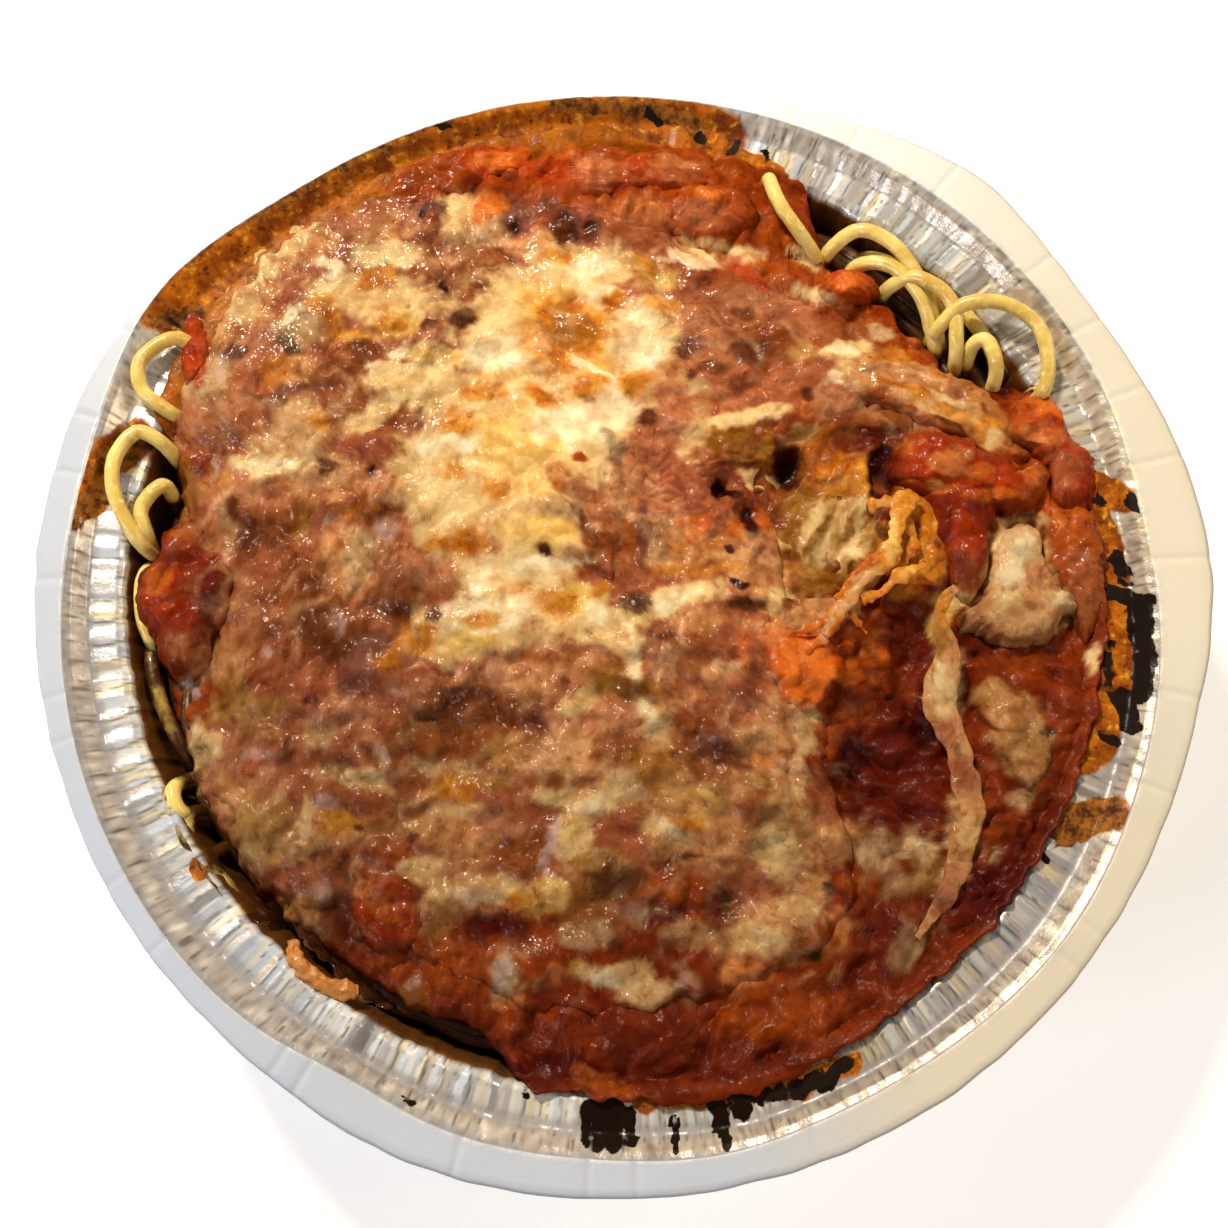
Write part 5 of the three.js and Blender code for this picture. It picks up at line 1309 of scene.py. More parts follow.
SHRED_PAINT = [
    ("orange", 0.3, [(614, 620, 640, 640, 0)]),
    ("gold", 0.6, [(895, 520, 30, 50, 0), (905, 575, 30, 20, 0), (850, 600, 30, 20, -40, 0.7)]),
    ("yellow", 0.6, [(890, 540, 8, 24, 0, 0.8), (868, 578, 8, 22, 45, 0.8), (905, 575, 14, 5, -30, 0.6),
        (888, 504, 12, 4, 0, 0.6)]),
    ("pale", 0.6, [(858, 584, 8, 20, 45, 0.8), (842, 606, 8, 18, 40, 0.8), (828, 630, 6, 14, 40, 0.6)]),
]
LUMP_PAINT = [
    ("brown", 0.3, [(614, 620, 640, 640, 0)]),
    ("amber", 0.6, [
        (928, 530, 26, 50, 0), (914, 500, 24, 12, 0), (900, 590, 20, 14, 0, 0.8), (870, 426, 24, 10, 0, 0.8),
        (850, 482, 44, 22, 0, 0.8),
    ]),
    ("gold", 0.5, [
        (828, 484, 16, 8, 0, 0.8), (866, 468, 10, 9, 0, 0.8), (862, 494, 14, 6, 0, 0.7),
        (914, 506, 12, 10, 0), (938, 522, 7, 18, 0, 0.9), (930, 566, 7, 14, 0, 0.9), (826, 622, 24, 8, -30),
        (908, 578, 10, 6, 0, 0.8), (922, 540, 5, 10, 0, 0.8),
    ]),
    ("tan", 0.6, [(820, 620, 60, 22, -24), (835, 450, 50, 16, 0, 0.9), (872, 575, 12, 20, 30)]),
    ("peach_and_highlight", 0.6, [(820, 628, 34, 7, -24, 0.8), (800, 612, 16, 6, 0, 0.7)]),
    ("cream", 0.6, [(862, 572, 8, 14, 30, 0.8), (840, 444, 30, 5, -8, 0.7), (822, 462, 14, 4, -20, 0.6)]),
    ("olive", 0.6, [(856, 452, 24, 5, -10, 0.8), (836, 474, 20, 4, -10, 0.7)]),
    ("brick", 0.6, [(884, 668, 52, 60, 0), (1072, 555, 24, 50, 0)]),
    ("orange", 0.6, [
        (866, 626, 26, 14, 0, 0.9), (858, 656, 12, 20, 0, 0.7), (884, 650, 10, 8, 0, 0.6),
        (1070, 520, 16, 12, 0, 0.5),
    ]),
    ("rose", 0.6, [(884, 668, 12, 14, 0, 0.5), (1080, 580, 12, 30, 0, 0.7), (1066, 470, 14, 20, 0, 0.6)]),
    # Deep red, with painted shade in the hollows round the window
    ("deep_red_and_shade", 0.5, [
        (912, 650, 16, 26, 0), (910, 700, 26, 30, 0), (852, 706, 14, 16, 0), (1052, 610, 10, 14, 0),
        (930, 590, 12, 6, 0), (912, 530, 5, 9, 0, 0.8), (940, 548, 5, 8, 0, 0.7), (920, 590, 8, 5, 0, 0.7),
        (894, 626, 8, 6, 0, 0.8), (884, 470, 8, 12, 0, 0.7), (872, 446, 14, 4, -10, 0.7),
    ]),
]
# Lumps that are part of the sauce and the cheese round the window, given like the pieces
SWELLS = [
    ("golden_mass", 41.8, 0.8, [
        (896, 494), (914, 486), (936, 494), (950, 512), (953, 545), (949, 580), (938, 602), (920, 596),
        (900, 604), (886, 596), (896, 572), (902, 552), (896, 530),
    ]),
    ("window_lip", 42.0, 0.4, [
        (784, 600), (812, 606), (838, 597), (860, 568), (882, 548), (888, 562), (874, 588), (852, 612),
        (828, 634), (800, 640), (776, 626),
    ]),
    ("right_mass", 41.0, 1.2, [
        (1048, 506), (1072, 500), (1098, 512), (1106, 550), (1102, 600), (1088, 640), (1074, 604),
        (1060, 580), (1048, 556),
    ]),
]


# Pieces that are flat or lean: how square the edge is, and millimetres of fall for each one south
SHAPES = {
    "cheese_flap": (7, 0.03), "cheese_fold": (6, 0.03), "cheese_patch": (5, 0.0),
    "tomato_big_right": (4, 0.1),
}


SHADES = {
    "tomato_left": 0.86, "tomato_big_right": 0.78, "tomato_centre_right": 1.2, "tomato_lower_left": 0.86,
    "cheese_flap": 0.78, "cheese_fold": 0.9, "cheese_patch": 0.85,
}


def add_morsel(name, low, rise, outline, layers, slot, finish, seed, replaced=(), calm=0.4, shade=1.0):
    """A lumpy piece that fills its outline in the photograph and sinks into the food round its edge."""
    power, fall = SHAPES.get(name, (4, 0.0))
    corners = curve_points([under_pixel(x, y, low)[:2] for x, y in outline], 12, closed=True)
    centre = corners.mean(axis=0)

    def edge_of(turn):
        place = turn / (2 * np.pi) * len(corners)
        index = place.astype(int) % len(corners)
        part = (place - place.astype(int))[:, None]
        edge = corners[index] * (1 - part) + corners[(index + 1) % len(corners)] * part
        at = np.column_stack([edge, np.full(len(edge), low)])
        away = (edge - centre) / np.linalg.norm(edge - centre, axis=1)[:, None]
        torn = 0.6 * noise(at, 3.4, seed) + 0.5 * noise(at, 1.7, seed + 1) + 0.25 * noise(at, 0.9, seed + 5)
        return edge + away * (torn + 0.5)[:, None]

    def heights(flat, share):
        at = flat + np.array((0, 0, low))
        dome = np.clip(1 - share**power, 0, 1) ** 0.55
        middle = low + fall * (flat[:, 1] - centre[1])
        folds = (
            0.7 * rise * abs(noise(at, 6, seed + 2)) + 0.7 * abs(noise(at, 3.4, seed + 3))
            + 0.15 * noise(at, 1.8, seed + 4)
        )
        base = np.maximum(ground(flat), low - 3)
        z = blend(base - 0.9, np.maximum(middle + 0.45 * rise, base + 0.3) + folds, dome)
        return np.column_stack([flat[:, :2], z])

    def skirt(edge):
        inner = np.array([*centre, 0.0])
        tucks = ((0.02, 0.7), (0.1, 1.8), (0.3, 2.6))
        return [np.column_stack([blend(edge, inner, tuck)[:, :2], edge[:, 2] - drop]) for tuck, drop in tucks]

    points, faces = blanket(centre, edge_of, MORSEL_NET, heights, skirt)
    marks = food_marks(points, layers, calm)
    inside = net(MORSEL_NET)[0]
    share = np.concatenate([inside, np.ones(len(points) - len(inside))])
    rim = smooth(0.74, 1.0, share + 0.12 * noise(points, 2.4, seed + 6))
    marks["tone"] = blend(shade * marks["tone"], paint(points),
        (0.4 if name == "cheese_flap" else 0.85) * rim[:, None])
    add_piece(name + "_piece", points, faces, slot, replaced, marks, finish)


def make_morsels(wet, cheese):
    for number, row in enumerate(MORSELS):
        add_morsel(*row, TOMATO_PAINT, "tomato", wet, 100 + 10 * number, [row[0]],
            shade=SHADES.get(row[0], 1.0))
    for number, row in enumerate(CHEESE_MORSELS):
        add_morsel(*row, LOOSE_PAINT, "cheese", cheese, 400 + 10 * number, [row[0]], 0.2, SHADES[row[0]])
    for number, row in enumerate(SWELLS):
        slot = "cheese" if row[0].startswith("window") else "sauce"
        add_morsel(*row, LUMP_PAINT, slot, cheese, 500 + 10 * number, calm=0.3)


def photo_line(line, steps):
    return curve_points([under_pixel(*place) for place in line], steps)


def make_strings(cheese, crust):
    def ribbon(line, widths, thickness, lift):
        path = photo_line(line, 16)
        path[:, 2] = np.maximum(path[:, 2], ground(path) + lift)
        widths = np.interp(np.linspace(0, 1, len(path)), np.linspace(0, 1, len(widths)), widths)
        return tube(path, widths, 48, thickness, lambda p: 0.5 * noise(p, 4, 71) + 0.35 * noise(p, 2.0, 72)
            + 0.15 * noise(p, 1.1, 73))

    strand = [(x, y, z - 1.6) for x, y, z in STRAND_LINE]
    points, faces = ribbon(strand, STRAND_WIDTHS, 0.3, 0.3)
    marks = food_marks(points, LOOSE_PAINT, 0.2)
    add_piece("cheese_strand_string", points, faces, "cheese", ["cheese_strand"], marks, cheese)

    shreds = []
    for number, (line, width) in enumerate(SHREDS):
        path = photo_line(line, 14)
        along = np.linspace(0, 1, len(path))
        widths = width * (1.1 - 0.5 * along**3) * (1 + 0.25 * np.sin(7 * along * (1 + width)))
        shreds.append(tube(path, 0.86 * widths, 26, 0.35,
            lambda p: 0.5 * noise(p, 2.4, 81) + 0.45 * noise(p, 1.1, 82)))
    points, faces = joined(shreds)
    add_piece("crust_strand_shred", points, faces, "crust", ["crust_strand"],
        food_marks(points, SHRED_PAINT, 0.3), crust)


# Eggplant slices
SLICES = [
    ("eggplant_lower_left", (-29, -43, 35.6), 20.4, (5, 4)),
    ("eggplant_bottom", (0, -59, 34.6), 11.6, (-6, 0)),
    ("eggplant_right", (36, 15, 36.8), 16.5, (4, -6)),
]
# The flesh in the window at the right, painted like the rest, with painted shadow in its cavities and along
# its left and lower edges
SLICE_PAINT = [
    ("brown", 0.3, [(614, 620, 640, 640, 0)]),
    ("amber", 0.6, [(846, 478, 46, 24, 0), (924, 530, 34, 48, 0, 0.8), (896, 560, 30, 30, 0, 0.8),
        (800, 440, 50, 20, 0, 0.6)]),
    ("flesh", 0.6, [(826, 540, 40, 62, 16), (862, 520, 20, 26, 0)]),
    ("flesh_light", 0.5, [(808, 530, 8, 34, 24, 0.6), (828, 545, 7, 40, 30, 0.6),
        (850, 520, 10, 26, 30, 0.6), (846, 560, 8, 22, 40)]),
    ("cream", 0.6, [
        (818, 520, 9, 26, 24, 0.4), (842, 548, 9, 24, 34, 0.5), (806, 556, 5, 22, 10, 0.3),
        (835, 505, 12, 6, -30, 0.4), (860, 548, 11, 12, 0),
    ]),
    ("olive", 0.6, [
        (793, 545, 8, 54, 0), (812, 586, 26, 18, 0), (832, 496, 30, 5, -10, 0.7), (800, 500, 9, 22, 0, 0.8),
        (819, 530, 4, 30, 28, 0.9), (840, 535, 4, 30, 30, 0.9), (848, 572, 14, 10, -30, 0.8),
        (862, 540, 4, 20, 30, 0.7),
    ]),
    ("gold", 0.6, [(868, 466, 15, 9, 0, 0.6), (842, 490, 26, 6, 0, 0.5), (910, 520, 14, 20, 0, 0.8),
        (884, 540, 8, 24, 0, 0.8)]),
    ("dark", 0.6, [(818, 594, 26, 9, 0, 0.9), (848, 573, 4, 9, 24), (825, 478, 18, 6, 0, 0.7),
        (905, 575, 20, 12, 0, 0.6)]),
    ("deep_red_and_shade", 0.5, [(884, 470, 13, 34, 0), (868, 438, 44, 12, -10), (900, 610, 44, 26, 0),
        (880, 512, 16, 8, 0, 0.9)]),
    ("shaded_pit", 0.5, [(788, 468, 14, 22, 10), (884, 458, 9, 12, 0), (806, 600, 20, 5, 0, 0.8),
        (872, 495, 8, 8, 0, 0.8)]),
]
# Breaded edge of the lower left slice, as photo pixels with heights
CRUMB_LINE = [
    (293, 940, 39), (295, 956, 39.4), (304, 972, 39.8), (322, 983, 39.8), (342, 990, 39.4), (358, 990, 38.8),
]
# Hollows in the window's flesh, sunk into it and darkened as painted shade: centre, half sizes, turn and
# strength
FLESH_HOLLOW_SHADE = [
    (786, 468, 16, 22, 10, 1), (884, 468, 13, 30, 0, 0.8), (812, 590, 24, 12, 0, 0.5),
    (868, 436, 40, 12, -10, 0.5),
]


def make_slices(crumbed, flesh):
    for number, (name, centre, radius, tilt) in enumerate(SLICES):
        spokes, rings, half = 150, 46, 3.0
        turn = 2 * np.pi * np.arange(spokes) / spokes
        wave = 1 + 0.03 * np.sin(3 * turn) + 0.02 * np.cos(7 * turn)
        share = np.linspace(0, 1, rings + 1)[1:]
        bodies = [np.array([[0, 0, half]])]
        for s in share:
            edge = half * (1 - 0.5 * smooth(0.86, 1, s))
            bodies.append(np.column_stack([radius * s * wave * np.cos(turn),
                radius * s * wave * np.sin(turn), 0 * turn + edge]))
        for s, z in ((1.0, 0), (0.98, -1.6), (0.9, -3), (0.5, -3)):
            bodies.append(np.column_stack([radius * s * wave * np.cos(turn),
                radius * s * wave * np.sin(turn), 0 * turn + z]))
        bodies.append(np.array([[0, 0, -half]]))
        points = np.vstack(bodies)
        lean = Matrix.Rotation(radians(tilt[0]), 3, "X") @ Matrix.Rotation(radians(tilt[1]), 3, "Y")
        points = points @ np.array(lean).T + np.array(centre)
        at = wander(pixels(points), points, 5, 4, 91)
        dark = blots(at, FLESH_HOLLOW_SHADE)
        along = points @ np.array([[0.87, -0.5, 0], [0.15, 0.26, 0], [0, 0, 0.3]]).T
        upper = np.arange(len(points)) < 1 + rings * spokes
        fibres = (
            2.2 * abs(noise(along, 3.2, 92 + number)) + 0.8 * abs(noise(along, 1.5, 95))
            + 0.6 * noise(points, 6, 93) - 1
        )
        buried = 1.8 if number < 2 else 0
        fibres = 0.55 * fibres * (1 - 0.75 * smooth(508, 488, at[:, 1])) if number == 2 else 0.4 * fibres
        points[:, 2] += np.where(upper, fibres - 3.2 * dark - buried, 0)
        crumbs = smooth(0.86, 0.98, np.hypot(points[:, 0] - centre[0], points[:, 1] - centre[1]) / radius)
        crumbs = crumbs * (0.5 * noise(points, 1.6, 96) + 0.35 * noise(points, 0.9, 97)
            + 0.5 * noise(points, 4, 98))
        points += crumbs[:, None] * (points
            - np.array(centre)) / radius * 1.4 + np.array((0, 0, 0.6)) * crumbs[:, None]
        if number == 2:
            marks = food_marks(points, SLICE_PAINT)
            add_piece(name + "_slice", points, capped_faces(rings + 4, spokes), "eggplant", [name], marks,
                flesh)
            continue
        out = np.hypot(points[:, 0] - centre[0], points[:, 1] - centre[1]) / radius
        # Painted shade in the flesh's hollows, and the whole lower left slice darkened
        marks = {"shade": np.maximum(dark, 0.8 * (number == 0)), "crust": smooth(0.82, 0.95, out)}
        add_piece(name + "_slice", points, capped_faces(rings + 4, spokes), "eggplant", [name], marks,
            crumbed)
    path = photo_line(CRUMB_LINE, 10)
    widths = np.interp(np.linspace(0, 1, len(path)), (0, 0.2, 0.5, 0.85, 1), (0.7, 1.2, 1.35, 1.3, 0.7))
    points, faces = tube(path, widths, 60, 0.8, lambda p: 0.45 * noise(p, 2.2, 99) + 0.4 * noise(p, 0.9, 100))
    marks = {"shade": np.zeros(len(points)), "crust": np.ones(len(points))}
    add_piece("eggplant_crumb_edge", points, faces, "eggplant", [], marks, crumbed)


# Spaghetti
NOODLE_RADIUS = 1.2
NOODLES = [
    [(34, 56.5, 33), (35.5, 58, 39), (40, 60, 42), (45.5, 57, 42.5), (50, 50, 41.5), (53, 43, 37),
        (54, 40, 33)],
    [(38, 54, 33), (40, 55, 39.5), (45, 53.5, 42), (49.5, 48.5, 41.5), (52, 42, 38), (53, 39.5, 33)],
    [(43, 50, 33), (45, 51, 40), (49, 51, 43.2), (54, 47, 43.2), (55, 40, 41), (55.5, 36, 33)],
    [
        (51, 42, 33), (52.5, 43.5, 41), (56, 46, 44), (62, 46, 44.6), (67.3, 42.5, 44.2), (69, 37, 43.2),
        (68.5, 32.5, 41), (67, 33, 36), (65.5, 33, 32),
    ],
    [(57, 37, 33), (57.5, 40, 41), (59.5, 40, 43.3), (61, 36, 42), (61, 33.5, 36), (60.5, 33.5, 32)],
    [(35, 55.5, 33), (33, 57, 38.5), (30, 59.4, 42.6), (27.6, 62.4, 43.6), (26, 65.6, 43.8),
        (25.4, 68.4, 42.8), (25.4, 70, 40)],
    [(46, 54, 33), (51, 51.5, 38.5), (56.5, 47, 39.5), (61, 41, 38.5), (63, 37, 33)],
    [(39, 59, 32), (43, 57.5, 37), (48.5, 53.5, 38.6), (55, 46.5, 37.8), (59, 41, 32.5)],
    [(-67, 27, 33), (-70.5, 28, 41), (-74.5, 31, 42.6), (-75, 36, 42.8), (-70, 40, 42.2), (-65, 38, 38)],
    [
        (-68.5, 20, 33), (-71, 22.5, 41), (-75, 23.8, 42.4), (-78, 19, 42.6), (-77.3, 13, 42.3),
        (-74, 7, 40.5), (-71.5, 5, 36), (-70.5, 4.5, 32),
    ],
    [(-71, 2, 32), (-72.8, 8, 39.8), (-73.5, 12, 41), (-70.5, 15.5, 41.2), (-69.6, 14.5, 36),
        (-69.6, 14, 32)],
    [(-71, 6, 32), (-73, 2, 37.8), (-73, -4, 38), (-71.3, -9, 36.5), (-70, -11, 32)],
    [(-71, -5, 32), (-71.5, -11, 35.8), (-69.5, -18, 36), (-66, -25, 35), (-64.5, -28.5, 31)],
    [(-63.5, -29, 32), (-66, -31.5, 37.5), (-65, -35, 38), (-62, -36, 34), (-61.5, -35.5, 31)],
    [(-60.5, -34.5, 32), (-63.5, -35.5, 36.5), (-63, -39.5, 36), (-60, -41, 31)],
    [(-58, -39.5, 32), (-60.3, -42.2, 35), (-57, -46.5, 35.5), (-52.5, -50, 34), (-50, -51.5, 30.5)],
]


def wall_radius(height):
    """Inner radius of the container's wall at a height."""
    return 66 + (height - 5.2) * 8 / 30.8


LYING_NOODLES = 90


def lying_noodles(count):
    """Noodles that lie one over another along the wall, from a seeded draw."""
    draw = np.random.default_rng(7)
    found = []
    for _ in range(count):
        start = draw.uniform(0, 360)
        length = draw.uniform(30, 80)
        height = draw.uniform(29.5, 35.2)
        radius = wall_radius(height) - draw.uniform(2.2, 9)
        angle = np.linspace(start, start + length, 9)
        r = radius + draw.normal(0, 0.7, 9)
        z = height + draw.normal(0, 0.7, 9)
        z = np.minimum(z, 36)
        r = np.minimum(r, wall_radius(z) - 1.9 + bumps(angle % 360, LEDGE_BUMPS) * z / 40)
        found.append(np.column_stack([r * np.cos(np.radians(angle)), r * np.sin(np.radians(angle)), z]))
    return found


def make_spaghetti(finish):
    bodies = []
    for path in NOODLES:
        line = curve_points(path, 12)
        bodies.append(tube(line, NOODLE_RADIUS, 14, 1.0, lambda p: 0.05 * noise(p, 1.5, 101)))
    for path in lying_noodles(LYING_NOODLES):
        bodies.append(tube(curve_points(path, 7), NOODLE_RADIUS, 9))
    points, faces = joined(bodies)
    # Sauce stain and painted shade, darker the lower a noodle lies
    stain_and_shade = smooth(40.5, 35.5, points[:, 2]) * (0.8 + 0.3 * noise(points, 6, 102))
    add_piece("spaghetti_strands", points, faces, "pasta", ["spaghetti"], {"stain_and_shade": stain_and_shade}, finish)

    spokes = 180
    turn = 2 * np.pi * np.arange(spokes) / spokes
    angle = np.degrees(turn)
    rings = [np.array([[0.0, 0, 2]])]
    for r, z in ((30, 2), (57, 2), (62, 3.4), (64, 6.2), (66.5, 14), (68.5, 22), (70, 28), (69, 30.5),
        (64, 31.5), (50, 32), (25, 33)):
        reach = r + (bumps(angle, LEDGE_BUMPS) * z / 40 if r > 57 else 0)
        ring = np.column_stack([reach * np.cos(turn), reach * np.sin(turn), 0 * turn + z])
        rings.append(ring)
    rings.append(np.array([[0.0, 0, 33.5]]))
    points = np.vstack(rings)
    points[:, 2] += np.where(points[:, 2] > 25, 0.5 * noise(points, 4, 103), 0)
    faces = [face[::-1] for face in capped_faces(11, spokes)]
    add_piece("spaghetti_core", points, faces, "pasta", [], {"stain_and_shade": np.full(len(points), 0.9)}, finish)


# Foil container
OIL = [
    ([(206, 300), (222, 284), (250, 262), (300, 226), (350, 196), (420, 162)], 30, 1.0),
    ([(176, 290), (192, 274), (215, 255), (260, 218), (310, 185), (350, 160), (400, 138)], 46, 1.0),
    ([(400, 138), (450, 122), (520, 112), (590, 110), (650, 122), (700, 145)], 46, 1.0),
    ([(1080, 490), (1102, 540), (1112, 600), (1113, 660), (1106, 715), (1088, 755)], 19, 1.0),
    ([(1096, 488), (1124, 500)], 16, 0.8),
    ([(640, 1098), (700, 1094), (780, 1085)], 14, 0.8),
    ([(800, 1085), (850, 1065)], 14, 0.8),
    ([(90, 500), (100, 460), (140, 440)], 22, 0.7),
    ([(1066, 828), (1090, 818), (1114, 816)], 18, 0.8),
    ([(192, 864), (203, 876)], 5, 0.9),
    ([(700, 145), (740, 160), (780, 172)], 9, 0.8),
]
BURN = [
    ([(1088, 488), (1098, 504)], 7, 0.9),
    ([(1130, 496), (1138, 508)], 6, 0.9),
    ([(1108, 592), (1150, 600)], 8, 1.0),
    ([(1138, 610), (1144, 650), (1141, 692)], 14, 1.0),
    ([(1122, 700), (1132, 724)], 11, 1.0),
    ([(1098, 732), (1112, 740)], 6, 1.0),
    ([(592, 1110), (596, 1142)], 12, 1.0),
    ([(610, 1106), (614, 1142)], 12, 1.0),
    ([(628, 1112), (630, 1136)], 8, 0.9),
    ([(716, 1100), (720, 1122)], 10, 1.0),
    ([(736, 1094), (742, 1112)], 11, 1.0),
    ([(754, 1090), (760, 1100)], 9, 0.9),
    ([(722, 1124), (726, 1146)], 5, 0.9),
    ([(672, 1116), (674, 1148)], 4, 0.9),
    ([(826, 1088), (846, 1062)], 8, 0.9),
    ([(772, 1092), (800, 1086), (822, 1078)], 10, 0.9),
    ([(1116, 560), (1128, 580)], 8, 0.9),
    ([(1108, 640), (1112, 690)], 7, 0.8),
    ([(700, 136), (704, 142)], 5, 1.0),
    ([(735, 144), (732, 152)], 4, 1.0),
    ([(766, 155), (768, 160)], 4, 1.0),
    ([(650, 115), (660, 122)], 7, 0.9),
    ([(438, 120), (446, 126)], 6, 0.9),
    ([(525, 1093), (528, 1098)], 4, 1.0),
    ([(405, 1095), (411, 1099)], 5, 1.0),
    ([(1043, 856), (1048, 858)], 4, 1.0),
    ([(160, 322), (196, 318)], 8, 0.7),
]
CRUSTED = [
    ([(75, 515), (100, 500), (110, 460), (150, 440)], 16, 0.7),
    ([(1066, 832), (1092, 818), (1110, 814)], 19, 0.8),
    ([(152, 322), (196, 312)], 9, 0.75),
    ([(260, 215), (330, 172), (420, 132)], 10, 0.55),
    ([(560, 104), (650, 110), (700, 128)], 9, 0.8),
]


def foil_stations():
    """The sheet's line from the centre of the base to the hem and back underneath.

    Each station is radius, height, its shares of the ledge's and the fold's waves, and its share across the
    flange.
    """
    upper = [
        (0, 0.8, 0, 0, -1, 1), (56, 0.8, 0, 0, -1, 1), (63.8, 2, 0, 0, -1, 1), (66, 5.2, 0.13, 0, -1, 1),
        (74, 36, 0.9, 0, -1, 5), (75.3, 39.4, 1, 0, -1, 3), (76.3, 40, 1, 0, -1, 3),
        (80.8, 40, 0.5, 0.5, -1, 9), (83.2, 42.1, 0, 1, -1, 6), (84.4, 42.5, 0, 1, 0.07, 4),
        (89, 42.4, 0, 0, 0.83, 7), (89.8, 42, 0, 0, 0.97, 2), (90, 41.3, 0, 0, 1, 2),
        (89.7, 40.6, 0, 0, 0.95, 1), (89, 40.4, 0, 0, 0.83, 1), (88.3, 40.9, 0, 0, 0.72, 1),
        (88.2, 41.7, 0, 0, 0.7, 1),
    ]
    lower = [
        (84.4, 41.9, 0, 1, 0.07, 2), (83.4, 41.6, 0, 1, -1, 1), (81, 39.6, 0.5, 0.5, -1, 1),
        (76.6, 39.6, 1, 0, -1, 1), (75.7, 39.2, 1, 0, -1, 1), (74.4, 36, 0.9, 0, -1, 1),
        (66.4, 5, 0.13, 0, -1, 2), (64, 1.5, 0, 0, -1, 1), (56, 0, 0, 0, -1, 1), (4, 0, 0, 0, -1, 1),
    ]
    stations = [upper[0][:5]]
    for before, after in zip(upper + lower, (upper + lower)[1:]):
        for step in range(1, after[5] + 1):
            share = step / after[5]
            whole = [blend(a, b, share) for a, b in zip(before[:4], after[:4])]
            across = blend(max(before[4], 0), max(after[4], 0),
                share) if after[4] >= 0 or before[4] >= 0.07 else -1
            stations.append((*whole, across))
    return np.array(stations)


def creases(angle, count, seed):
    """Panels between folds at uneven angles: height, which panel, and how near the next fold is."""
    draw = np.random.default_rng(seed)
    at = np.sort((np.arange(count) + draw.uniform(-0.45, 0.45, count)) * 360 / count)
    level = draw.uniform(-1, 1, count)
    angle = angle % 360
    height = np.interp(angle, np.concatenate([at - 360, at, at + 360]), np.tile(level, 3))
    number = np.searchsorted(at, angle) % count
    away = np.minimum(abs(angle - at[number - 1]), abs(at[number] - angle)) % 360
    return height, draw.uniform(0, 1, count)[number], away


# Facets of the foil round the rim
COARSE_RIBS, FINE_RIBS, THIN_RIBS, PANELS = 150, 360, 620, 34


def ribbed(angle, radius):
    """Flat facets of pressed foil that lean one way and the other: heights, tones of painted reflection, and
    dark lines of painted shade along some folds.
    """
    skew = 0.25 * sin(radius * 0.7)
    coarse, tone, away = creases(angle + skew, COARSE_RIBS, 15)
    fine, fine_tone, fine_away = creases(angle - skew, FINE_RIBS, 16)
    thin, thin_tone, _ = creases(angle + 0.5 * skew, THIN_RIBS, 17)
    line = (
        np.exp(-((away / 0.13) ** 2)) * (tone > 0.35)
        + 0.7 * np.exp(-((fine_away / 0.1) ** 2)) * (fine_tone > 0.6)
    )
    return 0.5 * coarse + 0.5 * fine + 0.12 * thin, 0.4 * fine_tone + 0.35 * tone + 0.25 * thin_tone, line


# Painted reflections of the facets on the ledge and wall: each facet's random number picks a tone from dark
# grey through white and pale blue to cream
FACETS = [(0.0, (96, 92, 92)), (0.2, (160, 158, 160)), (0.34, (232, 232, 232)), (0.42, (176, 178, 186)),
          (0.5, (206, 220, 240)), (0.58, (250, 250, 250)), (0.66, (196, 190, 186)), (0.74, (238, 226, 190)),
          (0.85, (255, 254, 248)), (1.0, (235, 238, 245))]
# Painted light and shade on the crinkled strip past the ledge, picked by a noise from dark taupe to near
# white
STRIP = [(0.0, (132, 120, 112)), (0.4, (184, 174, 166)), (0.7, (206, 198, 190)), (1.0, (250, 246, 240))]


def foil_tones(share, table):
    """Colours along a table of tones, in linear red, green and blue."""
    at = [row[0] for row in table]
    shown = np.array([linear(row[1])[:3] for row in table])
    return np.column_stack([np.interp(share, at, shown[:, channel]) for channel in range(3)])


